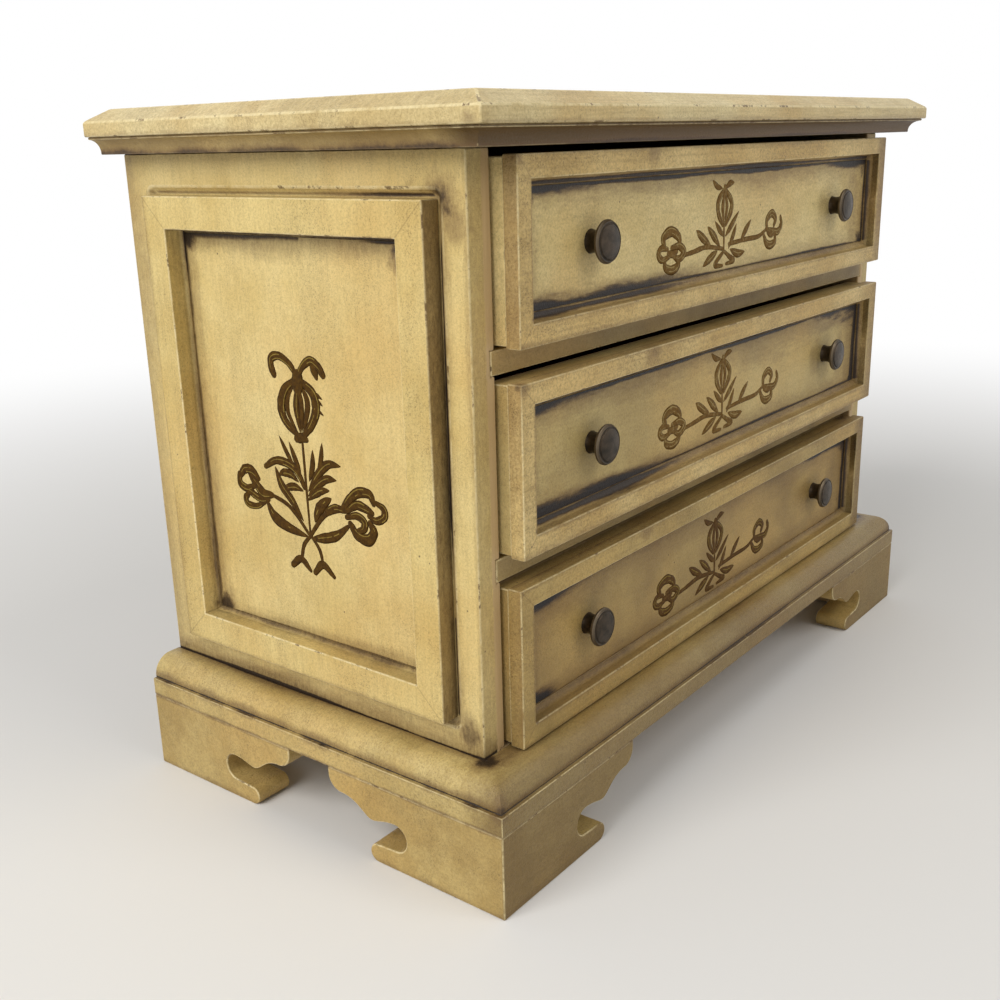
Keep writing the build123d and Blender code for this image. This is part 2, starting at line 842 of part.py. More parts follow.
def lever_axis():
    return (governor_left + governor_right) / 2, lever_plane_y() + lever_eye_radius


def governor_housing():
    # Closed gear and air-brake housing, with two ears and a pin for the stop lever.
    axis_z = movement_axis_z()
    y0, y1 = forward(bedplate_thickness + governor_depth), forward(bedplate_thickness)
    half = governor_height / 2
    housing = block(governor_left, governor_right, y0, y1, axis_z - half, axis_z + half)
    housing = fillet(housing.edges().filter_by(Axis.Z), governor_corner)
    bore = arbor_radius + shaft_clearance
    bearing_end = governor_left + governor_bearing + shaft_clearance
    housing -= x_rod(forward(arbor_reach), axis_z, bore, governor_left, bearing_end)
    pin_x, pin_y = lever_axis()
    ear_low = lever_width / 2 + running_gap
    ear_half = lever_eye_radius
    ear_front = pin_y - ear_half + lever_thickness
    for side in (-1, 1):
        z0, z1 = sorted((axis_z + side * ear_low, axis_z + side * (ear_low + lever_ear)))
        housing += block(pin_x - ear_half, pin_x + ear_half, ear_front, y0, z0, z1)
    pin_half = ear_low + lever_ear
    return housing + Pos(pin_x, pin_y, axis_z) * Cylinder(lever_pin_radius, 2 * pin_half)


def stop_lever():
    axis_z = movement_axis_z()
    pin_x, pin_y = lever_axis()
    front = lever_plane_y()
    half = lever_width / 2
    eye = Pos(pin_x, pin_y, axis_z) * Cylinder(lever_eye_radius, lever_width)
    arm_back = front + lever_thickness
    arm = block(pin_x - lever_length, pin_x, front, arm_back, axis_z - half, axis_z + half)
    bore = Pos(pin_x, pin_y, axis_z) * Cylinder(lever_pin_radius + shaft_clearance, lever_width)
    return eye + arm - bore


def movement_screws():
    screws = []
    radius = movement_screw_radius
    for x, z in movement_screw_spots():
        head = y_rod(x, z, 2 * radius, case_back, case_back + radius)
        screws.append(head + y_rod(x, z, radius, forward(bedplate_thickness), case_back))
    return screws


def write_case():
    write("top_board", top_board())
    write("cornice_moulding", *cornice_moulding())
    write("sub_top", sub_top())
    write("base_moulding", *base_moulding())
    for side, piece in zip(("left", "right"), both_sides(side_board())):
        write(side + "_side_board", piece)
    frame = side_frame()
    write("left_side_frame", *frame)
    write("right_side_frame", *[mirror(member, about=Plane.YZ) for member in frame])
    write("back_panel", back_panel())
    write("back_panel_pins", *back_pins())
    write("bottom_board", bottom_board())
    for index, place in ((1, "lower"), (2, "upper")):
        write(place + "_drawer_rail", drawer_rail(index))
        write(place + "_dust_panel", dust_panel(index))
    stops = [stop for index in range(drawer_count) for stop in drawer_stops(index)]
    write("drawer_stops", *stops)
    for end, foot in (("front", front_foot()), ("rear", rear_foot())):
        write(end + "_left_foot", *foot)
        write(end + "_right_foot", *[mirror(bracket, about=Plane.YZ) for bracket in foot])
    write("glue_blocks", *glue_blocks())


def write_drawer(index, name):
    write(name + "_drawer_front_board", front_board(index))
    write(name + "_drawer_front_frame", *front_frame(index))
    write(name + "_drawer_sides", *box_sides(index))
    write(name + "_drawer_back", box_rear(index))
    write(name + "_drawer_bottom", box_bottom(index))
    write(name + "_drawer_lining", lining(index))
    write(name + "_drawer_knobs", *knobs(index))
    write(name + "_drawer_knob_screws", *knob_screws(index))


def write_movement():
    write("movement_bedplate", bedplate())
    write("spring_barrel", spring_barrel())
    write("great_wheel", great_wheel())
    write("winding_shaft", winding_shaft())
    write("winding_key", winding_key())
    write("pin_cylinder", pin_cylinder())
    write("cylinder_arbor", cylinder_arbor())
    write("comb", comb())
    write("comb_screws", *comb_screws())
    write("governor_housing", governor_housing())
    write("stop_lever", stop_lever())
    write("movement_screws", *movement_screws())


os.makedirs("parts", exist_ok=True)
write_case()
for number, drawer_name in enumerate(("bottom", "middle", "top")):
    write_drawer(number, drawer_name)
write_movement()
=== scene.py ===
import json
import random
from math import cos, exp, pi, radians, sin

import bmesh
import bpy
from mathutils import Matrix, Vector, noise


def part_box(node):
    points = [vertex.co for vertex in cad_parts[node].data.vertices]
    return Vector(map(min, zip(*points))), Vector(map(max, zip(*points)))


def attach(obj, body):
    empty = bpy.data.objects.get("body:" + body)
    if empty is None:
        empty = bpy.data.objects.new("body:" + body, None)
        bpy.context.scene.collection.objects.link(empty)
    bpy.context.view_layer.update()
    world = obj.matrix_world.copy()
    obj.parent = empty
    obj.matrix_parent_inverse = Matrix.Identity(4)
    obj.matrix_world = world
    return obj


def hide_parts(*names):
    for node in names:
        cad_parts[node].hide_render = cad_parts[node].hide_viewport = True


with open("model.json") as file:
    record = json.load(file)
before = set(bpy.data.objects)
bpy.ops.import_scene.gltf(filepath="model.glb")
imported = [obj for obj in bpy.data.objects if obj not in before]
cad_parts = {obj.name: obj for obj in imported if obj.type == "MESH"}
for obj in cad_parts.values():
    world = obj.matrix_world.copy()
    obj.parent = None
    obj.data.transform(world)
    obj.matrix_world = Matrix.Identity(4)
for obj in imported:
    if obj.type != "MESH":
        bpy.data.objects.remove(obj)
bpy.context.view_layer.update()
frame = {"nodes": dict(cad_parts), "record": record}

# The musical jewelry box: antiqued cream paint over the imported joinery, painted sprigs, turned knobs,
# velvet linings and the clockwork. Lengths in the tables are in millimetres.

mm = 0.001
random.seed(7)
nodes = frame["nodes"]

# x runs to the right of the box, y to its back and z up.
X, Y, Z = 0, 1, 2

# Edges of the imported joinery: the glaze gathers along them, and the sprigs and knobs are placed from them.
foot_top, quirk, base_top, case_top = 27.4, 34.1, 41.4, 215.0
case_side, moulding_end = 140, 154
side_field = 138.0
field_front, field_rear, field_low, field_high = -48.5, 46.8, 63.0, 190.7
groove_front, groove_rear, groove_low, groove_high = -60.9, 60.0, 50.2, 203.2
drawers = ("bottom", "middle", "top")
drawer_floor = {"bottom": 41.4, "middle": 101.6, "top": 161.8}
drawer_field = {"bottom": -73.175, "middle": -74.775, "top": -74.775}
front_side, front_end = 120.85, 129.5
knob_x, lowest_knob, knob_pitch = 87.8, 67.3, 60.2


def hex_colour(text):
    """Turn an sRGB hex colour into the linear one that a shader takes."""
    parts = [int(text[i:i + 2], 16) / 255 for i in (1, 3, 5)]
    return [p / 12.92 if p <= 0.04045 else ((p + 0.055) / 1.055) ** 2.4 for p in parts] + [1]


def add(tree, kind, links=None, **settings):
    """Add one node with its settings, and set or link what goes into its sockets."""
    node = tree.nodes.new("ShaderNode" + kind)
    for name, value in settings.items():
        setattr(node, name, value)
    for name, value in (links or {}).items():
        if isinstance(name, str):
            socket = next(s for s in node.inputs if s.enabled and s.name == name)
        else:
            socket = node.inputs[name]
        if isinstance(value, bpy.types.Node):
            value = next(s for s in value.outputs if s.enabled)
        if isinstance(value, bpy.types.NodeSocket):
            tree.links.new(value, socket)
        elif isinstance(value, str):
            socket.default_value = hex_colour(value)
        else:
            socket.default_value = value
    return node


def new_material(name):
    """Start a material: its tree, its shader, and the surface's place in millimetres."""
    material = bpy.data.materials.new(name)
    material.use_nodes = True
    tree = material.node_tree
    tree.nodes.clear()
    shader = add(tree, "BsdfPrincipled")
    output = add(tree, "OutputMaterial")
    tree.links.new(shader.outputs[0], output.inputs[0])
    coords = add(tree, "TexCoord")
    place = add(tree, "VectorMath", {0: coords.outputs["Object"], "Scale": 1000}, operation="SCALE")
    return material, tree, shader, place


def finish_material(tree, shader, colour, height, depth, roughness, **constants):
    """Link a material's colour and its roughness, and turn a height pattern into relief depth mm deep.

    roughness is a number, or (pattern, smoothest, roughest). The rest are constants on the shader.
    """
    tree.links.new(colour.outputs[2], shader.inputs["Base Color"])
    bump = add(tree, "Bump", {"Height": height, "Distance": depth * mm, "Strength": 1})
    tree.links.new(bump.outputs[0], shader.inputs["Normal"])
    if isinstance(roughness, tuple):
        pattern, smoothest, roughest = roughness
        varied = add(tree, "MapRange", {"Value": pattern, "To Min": smoothest, "To Max": roughest})
        tree.links.new(varied.outputs[0], shader.inputs["Roughness"])
    else:
        shader.inputs["Roughness"].default_value = roughness
    for name, value in constants.items():
        shader.inputs[name.replace("_", " ")].default_value = value


def distance_from(tree, value, middle):
    """How far a coordinate is from a plane, on either side of it."""
    apart = add(tree, "Math", {0: value, 1: middle}, operation="SUBTRACT")
    return add(tree, "Math", {0: apart}, operation="ABSOLUTE")


def drawn_out(tree, place, axis, along, across=1.0):
    """Stretch a pattern: its scale is along down the axis, and across on the other two."""
    scale = [across] * 3
    if axis is not None:
        scale[axis] = along
    return add(tree, "VectorMath", {0: place, 1: scale}, operation="MULTIPLY")


def tinted(tree, colour, tint, pattern, low, high, most=1.0, interpolation="LINEAR"):
    """Lay a tint over a colour where a pattern rises from low to high, and no stronger than most."""
    share = add(tree, "MapRange", {"Value": pattern, "From Min": low, "From Max": high, "To Max": most},
                interpolation_type=interpolation)
    return add(tree, "Mix", {"Factor": share, "A": colour, "B": tint}, data_type="RGBA")


# A noise's scale is marks to the millimetre: 0.08 gives marks about 12 mm wide.

def wandering(tree, place, along=None):
    """Noise about 0 that moves a glaze edge: in long sweeps along the edge, ragged across it."""
    drawn = drawn_out(tree, place, along, 0.2)
    wide = add(tree, "TexNoise", {"Vector": drawn, "Scale": 0.08, "Detail": 3, "Roughness": 0.5})
    ragged = add(tree, "TexNoise", {"Vector": drawn, "Scale": 0.6, "Detail": 5, "Roughness": 0.65})
    both = add(tree, "Math", {0: ragged, 1: 0.26, 2: wide}, operation="MULTIPLY_ADD")
    return add(tree, "Math", {0: both, 1: 0.63}, operation="SUBTRACT")


def pooled_glaze(tree, place, pools, spots):
    """How thick the glaze lies: against edges and in corners, fading out unevenly.

    A pool is (axis, its edge, reach, strength, axis it runs along, from, to), and may end in the lengths over
    which it fades out at its two ends. A spot is (centre, reach, strength).
    """
    parts = add(tree, "SeparateXYZ", {0: place})
    uneven = {along: wandering(tree, place, along) for along in sorted({pool[4] for pool in pools})}
    layers = []
    for axis, edge, reach, strength, along, low, high, *fades in pools:
        fade_in, fade_out = fades or (0.5, 0.5)
        away = distance_from(tree, parts.outputs[axis], edge)
        away = add(tree, "Math", {0: uneven[along], 1: 1.5 * reach, 2: away}, operation="MULTIPLY_ADD")
        lies = add(tree, "MapRange", {"Value": away, "From Max": reach, "To Min": strength, "To Max": 0},
                   interpolation_type="SMOOTHSTEP")
        start = add(tree, "MapRange", {
            "Value": parts.outputs[along], "From Min": low - 0.5, "From Max": low + fade_in,
        })
        finish = add(tree, "MapRange", {
            "Value": parts.outputs[along], "From Min": high - fade_out, "From Max": high + 0.5,
            "To Min": 1, "To Max": 0,
        })
        lies = add(tree, "Math", {0: lies, 1: start}, operation="MULTIPLY")
        layers.append(add(tree, "Math", {0: lies, 1: finish}, operation="MULTIPLY"))
    blotchy = wandering(tree, place)
    for centre, reach, strength in spots:
        away = add(tree, "VectorMath", {0: place, 1: centre}, operation="DISTANCE").outputs["Value"]
        away = add(tree, "Math", {0: blotchy, 1: 1.6 * reach, 2: away}, operation="MULTIPLY_ADD")
        layers.append(add(
            tree, "MapRange", {"Value": away, "From Max": reach, "To Min": strength, "To Max": 0},
            interpolation_type="SMOOTHSTEP",
        ))
    total = layers[0]
    for layer in layers[1:]:
        total = add(tree, "Math", {0: total, 1: layer}, operation="MAXIMUM")
    return total


def ground_coat(tree, place, light, shade, grain, grime, streaks, grit):
    """The paint under the glaze: its colour, its brush marks and its pitted skin."""
    clouds = add(tree, "TexNoise", {"Vector": place, "Scale": 0.028, "Detail": 6, "Roughness": 0.62})
    colour = tinted(tree, light, shade, clouds, 0.36, 0.66, interpolation="SMOOTHSTEP")

    # Grime rubbed into the paint in patches of a thumb's width, with a grainy border.
    wiped = drawn_out(tree, place, grain, 0.35)
    smudge = add(tree, "TexNoise", {"Vector": wiped, "Scale": 0.06, "Detail": 9, "Roughness": 0.78})
    smudge = add(tree, "MapRange", {"Value": smudge, "From Min": 0.46, "From Max": 0.72, "To Max": grime})
    colour = add(tree, "Mix", {"Factor": smudge, "A": colour, "B": "#7E6539"}, data_type="RGBA")

    # The oil in the paint has yellowed here and there, and half-millimetre grit sticks where the grime is.
    aged = add(tree, "TexNoise", {"Vector": place, "Scale": 0.016, "Detail": 4, "Roughness": 0.6})
    colour = tinted(tree, colour, "#CDA65E", aged, 0.46, 0.66, 0.46)
    specks = add(tree, "TexNoise", {"Vector": place, "Scale": 2.4, "Detail": 2, "Roughness": 0.6})
    specks = add(tree, "MapRange", {"Value": specks, "From Min": 0.54, "From Max": 0.66})
    sticky = add(tree, "Math", {0: smudge, 1: 2.2, 2: 0.16}, operation="MULTIPLY_ADD")
    specks = add(tree, "Math", {0: specks, 1: sticky}, operation="MULTIPLY", use_clamp=True)
    colour = add(tree, "Mix", {"Factor": specks, "A": colour, "B": "#4A3A20"}, data_type="RGBA")

    # Brush marks: 30 mm long down the grain and about a millimetre across it.
    strokes = drawn_out(tree, place, grain, 0.03, 0.9)
    brush = add(tree, "TexNoise", {"Vector": strokes, "Scale": 1, "Detail": 5, "Roughness": 0.7})
    colour = tinted(tree, colour, "#80673A", brush, 0.45, 0.75, streaks)

    # Orange peel in the coat: glaze stays in its pits, and a few spatters half a millimetre wide lie on it.
    peel = add(tree, "TexNoise", {"Vector": place, "Scale": 1.3, "Detail": 4, "Roughness": 0.65})
    colour = tinted(tree, colour, "#86703F", peel, 0.44, 0.7, grit)
    spatter = add(tree, "TexVoronoi", {"Vector": place, "Scale": 0.11, "Randomness": 1})
    spatter = add(tree, "MapRange", {
        "Value": spatter.outputs["Distance"], "From Min": 0.02, "From Max": 0.045, "To Min": 0.8, "To Max": 0,
    })
    colour = add(tree, "Mix", {"Factor": spatter, "A": colour, "B": "#3E3020"}, data_type="RGBA")
    return colour, brush, peel


def browned(tree, place, colour, axis, side, limit, fade, strength):
    """Tint all that lies past a limit on one side brown: painted shade, where that side gets less light."""
    towards = add(tree, "SeparateXYZ", {0: place}).outputs[axis]
    past = add(tree, "Math", {0: towards, 1: side, 2: -limit}, operation="MULTIPLY_ADD")
    return tinted(tree, colour, "#523B14", past, 0, fade, strength)


def mitre_seams(tree, place, colour, first, second, longer):
    """A hairline of glaze where two members of a frame meet.

    first and second are an axis and the frame's middle on it. The frame is longer on the first, by twice longer.
    """
    parts = add(tree, "SeparateXYZ", {0: place})
    reach = [distance_from(tree, parts.outputs[axis], middle) for axis, middle in (first, second)]
    seam = add(tree, "Math", {0: reach[0], 1: reach[1]}, operation="SUBTRACT")
    seam = distance_from(tree, seam, longer)
    seam = add(tree, "MapRange", {
        "Value": seam, "From Min": 0.1, "From Max": 0.45, "To Min": 0.3, "To Max": 0,
    })
    return add(tree, "Mix", {"Factor": seam, "A": colour, "B": "#5A4424"}, data_type="RGBA")


def rubbed_arrises(tree, place, colour, glaze):
    """Rub the arrises pale where no glaze lies, here and there down to the brown wood."""
    arris = add(tree, "Attribute", attribute_name="arris").outputs["Fac"]
    patchy = add(tree, "TexNoise", {"Vector": place, "Scale": 0.14, "Detail": 7, "Roughness": 0.75})
    rubbed = add(tree, "MapRange", {"Value": patchy, "From Min": 0.36, "From Max": 0.54, "To Max": 0.72})
    worn = add(tree, "Math", {0: arris, 1: rubbed}, operation="MULTIPLY", use_clamp=True)
    clear = add(tree, "Math", {0: 1, 1: glaze}, operation="SUBTRACT", use_clamp=True)
    worn = add(tree, "Math", {0: worn, 1: clear}, operation="MULTIPLY")
    colour = add(tree, "Mix", {"Factor": worn, "A": colour, "B": "#E6D5A4"}, data_type="RGBA")
    chipped = add(tree, "MapRange", {"Value": patchy, "From Min": 0.56, "From Max": 0.61, "To Max": 0.85})
    chipped = add(tree, "Math", {0: arris, 1: chipped}, operation="MULTIPLY", use_clamp=True)
    return add(tree, "Mix", {"Factor": chipped, "A": colour, "B": "#644A26"}, data_type="RGBA")


def bare_wood(tree, place, colour, brush, fine, axis, side, limit):
    """Leave the wood plain past a limit on one side, with a border as uneven as a brush leaves it."""
    parts = add(tree, "SeparateXYZ", {0: place})
    past = add(tree, "Math", {0: parts.outputs[axis], 1: side, 2: -side * limit}, operation="MULTIPLY_ADD")
    past = add(tree, "Math", {0: fine, 1: 3.0, 2: past}, operation="MULTIPLY_ADD")
    wood = add(tree, "Mix", {"Factor": brush, "A": "#CBB083", "B": "#A98B5C"}, data_type="RGBA")
    return tinted(tree, colour, wood, past, 0, 0.5)


def antique_paint(name, light, shade, grain, pools=(), spots=(), streaks=0.2, grime=0.3, mirrored=False,
                  relief=0.2, bare=None, grit=0.4, sheen=(0.4, 0.6), dregs="#261B10",
                  painted_shade=None, mitre=None):
    """Cream milk paint, brushed on, rubbed back and wiped with an umber glaze.

    light is the clean paint and shade the paint under a film of glaze. grain is the axis of the brush.
    A mirrored material is the same on the right of the box as on the left. bare is (axis, side, limit) where
    the painter stopped and the wood inside is left plain. grit is how much glaze stays in the pits, and sheen
    the roughness from its glossiest place to its dullest. dregs is the colour of the glaze where it is thick.
    smoked is (axis, side, limit, fade, strength) past which the whole surface is browned: painted shade.
    mitre is what mitre_seams takes.
    """
    material, tree, shader, place = new_material("glazed_milk_paint_" + name)
    folded = place
    if mirrored:
        parts = add(tree, "SeparateXYZ", {0: place})
        side = add(tree, "Math", {0: parts.outputs[X]}, operation="ABSOLUTE")
        folded = add(tree, "CombineXYZ", {0: side, 1: parts.outputs[Y], 2: parts.outputs[Z]})
    colour, brush, peel = ground_coat(tree, place, light, shade, grain, grime, streaks, grit)
    if painted_shade:
        colour = browned(tree, place, colour, *painted_shade)
    if mitre:
        colour = mitre_seams(tree, place, colour, *mitre)

    # Glaze: a thin brown film that turns near black where it is thick.
    wiped = drawn_out(tree, place, grain, 0.35)
    fine = add(tree, "TexNoise", {"Vector": wiped, "Scale": 0.9, "Detail": 6, "Roughness": 0.78})
    fine = add(tree, "Math", {0: fine, 1: 0.5}, operation="SUBTRACT")
    glaze = pooled_glaze(tree, folded, pools, spots)
    film = add(tree, "Math", {0: fine, 1: 0.8, 2: glaze}, operation="MULTIPLY_ADD")
    colour = tinted(tree, colour, "#64492A", film, 0.08, 0.95, 0.92)
    thick = add(tree, "Math", {0: fine, 1: 0.4, 2: glaze}, operation="MULTIPLY_ADD")
    thick = add(tree, "MapRange", {"Value": thick, "From Min": 0.6, "From Max": 1.12, "To Max": 0.95},
                interpolation_type="SMOOTHSTEP")
    colour = add(tree, "Mix", {"Factor": thick, "A": colour, "B": dregs}, data_type="RGBA")

    colour = rubbed_arrises(tree, place, colour, glaze)
    if bare:
        colour = bare_wood(tree, folded, colour, brush, fine, *bare)
    height = add(tree, "Math", {0: brush, 1: 0.35, 2: peel}, operation="MULTIPLY_ADD")
    height = add(tree, "Math", {0: thick, 1: -0.5, 2: height}, operation="MULTIPLY_ADD")
    finish_material(tree, shader, colour, height, relief, (peel, *sheen), Specular_IOR_Level=0.36)
    return material


def plain_finish(name, colour, second, stretch, roughness, metallic=0.0, depth=0.03):
    """A plain material with one grain, a millimetre wide where stretch is 1, in its colour and its relief."""
    material, tree, shader, place = new_material(name)
    along = add(tree, "VectorMath", {0: place, 1: stretch}, operation="MULTIPLY")
    grain = add(tree, "TexNoise", {"Vector": along, "Scale": 1, "Detail": 6, "Roughness": 0.65})
    tint = tinted(tree, colour, second, grain, 0.3, 0.7)
    finish_material(tree, shader, tint, grain, depth, (grain, roughness - 0.1, roughness + 0.1), Metallic=metallic)
    return material


def knob_metal():
    """Turned pewter with a dark lacquer: rings from the lathe and a worn brownish sheen."""
    material, tree, shader, place = new_material("dark_pewter_knob")
    parts = add(tree, "SeparateXYZ", {0: place})
    across = distance_from(tree, parts.outputs[X], 0)
    across = add(tree, "Math", {0: across, 1: knob_x}, operation="SUBTRACT")
    up = add(tree, "Math", {0: parts.outputs[Z], 1: lowest_knob}, operation="SUBTRACT")
    up = add(tree, "Math", {0: up, 1: knob_pitch / 2, 2: -knob_pitch / 2}, operation="WRAP")
    flat = add(tree, "CombineXYZ", {0: across, 1: up})
    radius = add(tree, "VectorMath", {0: flat}, operation="LENGTH").outputs["Value"]

    # The lathe left rings 0.45 mm apart. The rim is rubbed pale, and a groove runs inside it.
    rings = add(tree, "Math", {0: radius, 1: 14}, operation="MULTIPLY")
    rings = add(tree, "Math", {0: rings}, operation="SINE")
    cloud = add(tree, "TexNoise", {"Vector": place, "Scale": 0.35, "Detail": 5, "Roughness": 0.6})
    tint = tinted(tree, "#483C2F", "#2C261D", cloud, 0.35, 0.65)
    tint = tinted(tree, tint, "#7A6C58", radius, 5.5, 6.2, 0.5)
    height = add(tree, "Math", {0: rings, 1: 0.25, 2: cloud}, operation="MULTIPLY_ADD")
    groove = distance_from(tree, radius, 5.15)
    groove = add(tree, "MapRange", {"Value": groove, "From Max": 0.3, "To Min": -9, "To Max": 0})
    height = add(tree, "Math", {0: height, 1: groove}, operation="ADD")
    finish_material(tree, shader, tint, height, 0.03, (cloud, 0.3, 0.5), Metallic=0.85)
    return material


def velvet():
    """Burgundy velvet: its tufts are half a millimetre wide and catch light at a grazing angle.

    It is crushed here and there, in patches 20 mm wide.
    """
    material, tree, shader, place = new_material("burgundy_velvet")
    pile = add(tree, "TexNoise", {"Vector": place, "Scale": 2.2, "Detail": 3})
    crush = add(tree, "TexNoise", {"Vector": place, "Scale": 0.05, "Detail": 3})
    both = add(tree, "Math", {0: pile, 1: 0.4, 2: crush}, operation="MULTIPLY_ADD")
    tint = tinted(tree, "#4A0F1A", "#74202C", both, 0.4, 1.1)
    finish_material(tree, shader, tint, pile, 0.25, 0.95,
                    Sheen_Weight=0.8, Sheen_Roughness=0.35, Sheen_Tint=hex_colour("#C98890"))
    return material


def sprig_paint(name, colour, second, ground, thin):
    """Umber size colour laid over the cream with a round brush, thin where the brush ran dry."""
    material, tree, shader, place = new_material(name)
    streak = add(tree, "TexNoise", {"Vector": place, "Scale": 0.9, "Detail": 5, "Roughness": 0.7})
    tint = tinted(tree, colour, second, streak, 0.35, 0.65)
    dry = add(tree, "TexNoise", {"Vector": place, "Scale": 0.55, "Detail": 6, "Roughness": 0.75})
    tint = tinted(tree, tint, ground, dry, 0.52, 0.66, thin)
    finish_material(tree, shader, tint, streak, 0.05, 0.6, Specular_IOR_Level=0.12)
    return material


def paint_nodes(material, *names):
    """Give CAD nodes a material, without touching their meshes."""
    for name in names:
        for slot in nodes[name].material_slots:
            slot.link = "OBJECT"
            slot.material = material


def select_alone(piece):
    """Make one object the only one that an operator acts on."""
    bpy.ops.object.select_all(action="DESELECT")
    piece.select_set(True)
    bpy.context.view_layer.objects.active = piece


def edit(piece):
    """Select one object alone, open its mesh and select all of it."""
    if bpy.context.object and bpy.context.object.mode == "EDIT":
        bpy.ops.object.mode_set(mode="OBJECT")
    select_alone(piece)
    bpy.ops.object.mode_set(mode="EDIT")
    bpy.ops.mesh.select_all(action="SELECT")


def block(name, size, centre):
    """Start a piece from a block of the given size and place in millimetres, open for editing."""
    bpy.ops.object.select_all(action="DESELECT")
    bpy.ops.mesh.primitive_cube_add(size=1, location=[c * mm for c in centre])
    piece = bpy.context.object
    piece.name = piece.data.name = name
    piece.scale = [s * mm for s in size]
    bpy.ops.object.transform_apply(location=True, rotation=True, scale=True)
    edit(piece)
    return piece


def round_edges(piece, radius, segments, over):
    """Round the edges that turn by more than the given number of degrees."""
    bevel = piece.modifiers.new("rounded", "BEVEL")
    bevel.width = radius * mm
    bevel.segments = segments
    bevel.limit_method = "ANGLE"
    bevel.angle_limit = radians(over)
    bpy.ops.object.modifier_apply(modifier=bevel.name)


def mark_arrises(piece):
    """Give each vertex that lies within a rounded arris 1, and every other vertex 0."""
    mesh = piece.data
    values = [1.0] * len(mesh.vertices)
    for face in mesh.polygons:
        if face.material_index == 0:
            for index in face.vertices:
                values[index] = 0.0
    attribute = mesh.attributes.new("arris", "FLOAT", "POINT")
    attribute.data.foreach_set("value", values)
    for face in mesh.polygons:
        face.material_index = 0
    mesh.materials.pop()


def worn_copy(name, material, body, radius, mitre=None):
    """Stand a copy for a CAD node whose arrises are rubbed round and whose mitres are filled.

    mitre gives the two axes that a mitred face leans in, which no other face of the node does.
    """
    mesh = nodes[name].data.copy()
    piece = bpy.data.objects.new(name + "_painted", mesh)
    bpy.context.scene.collection.objects.link(piece)
    mesh.materials.clear()
    mesh.materials.append(material)
    mesh.materials.append(material)
    same_place = 0.003 * mm
    edit(piece)
    bpy.ops.mesh.customdata_custom_splitnormals_clear()
    bpy.ops.mesh.remove_doubles(threshold=same_place)
    if mitre:
        bpy.ops.mesh.select_all(action="DESELECT")
        shape = bmesh.from_edit_mesh(mesh)
        for face in shape.faces:
            lean = [abs(face.normal[axis]) for axis in mitre]
            face.select = min(lean) > 0.3 and max(lean) < 0.96 and sum(n * n for n in lean) > 0.999
        bmesh.update_edit_mesh(mesh)
        bpy.ops.mesh.delete(type="FACE")
        bpy.ops.mesh.select_all(action="SELECT")
        bpy.ops.mesh.remove_doubles(threshold=same_place)
    bpy.ops.mesh.dissolve_degenerate(threshold=0.01 * mm)
    bpy.ops.mesh.dissolve_limited(angle_limit=radians(0.6))

    # An outward edge that turns by more than 28 degrees is an arris. The bevel's faces go to the second slot.
    shape = bmesh.from_edit_mesh(mesh)
    weight = shape.edges.layers.float.new("bevel_weight_edge")
    for rim in shape.edges:
        if rim.is_manifold and rim.calc_face_angle_signed() > radians(28):
            rim[weight] = 1
    bmesh.update_edit_mesh(mesh)
    bpy.ops.object.mode_set(mode="OBJECT")
    mesh.shade_smooth()
    bevel = piece.modifiers.new("rubbed", "BEVEL")
    bevel.width = radius * mm
    bevel.segments = 4
    bevel.limit_method = "WEIGHT"
    bevel.material = 1
    bevel.use_clamp_overlap = False
    bevel.miter_outer = "MITER_ARC"
    bpy.ops.object.modifier_apply(modifier=bevel.name)
    flats = piece.modifiers.new("flats", "WEIGHTED_NORMAL")
    flats.keep_sharp = True
    bpy.ops.object.modifier_apply(modifier=flats.name)
    mark_arrises(piece)
    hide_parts(name)
    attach(piece, body)


def velvet_pad(drawer, front, back, base):
    """A thin foam pad under velvet: crowned, dented a little, and pulled down along its edges."""
    half_width, half_depth = 122.4, (back - front) / 2
    middle = (front + back) / 2
    start, lift = 2.2, 0.1
    pad = block(drawer + "_drawer_velvet_pad", (2 * half_width, 2 * half_depth, start),
                (0, middle, base + lift + start / 2))
    bpy.ops.mesh.subdivide(number_cuts=30)
    bpy.ops.object.mode_set(mode="OBJECT")
    for vertex in pad.data.vertices:
        x, y, z = vertex.co / mm
        y -= middle
        from_edge = max(min(half_width - abs(x), half_depth - abs(y)), 0)
        full = 1 - exp(-from_edge / 4.5)
        # Dents 22 mm wide, and shallower ones of 8 mm.
        dent = noise.noise(Vector((x, y, 0)) * 0.045) + 0.5 * noise.noise(Vector((x, y, 9)) * 0.12)
        thickness = 0.9 + full * (1.25 + 0.16 * dent)
        share = (z - base - lift) / start
        pull_x = 1 - 0.006 * (1 - (y / half_depth) ** 2)
        pull_y = 1 - 0.008 * (1 - (x / half_width) ** 2)
        vertex.co = Vector((x * pull_x, middle + y * pull_y, base + lift + share * thickness)) * mm
    round_edges(pad, 0.4, 3, over=50)
    pad.data.shade_smooth()
    return pad


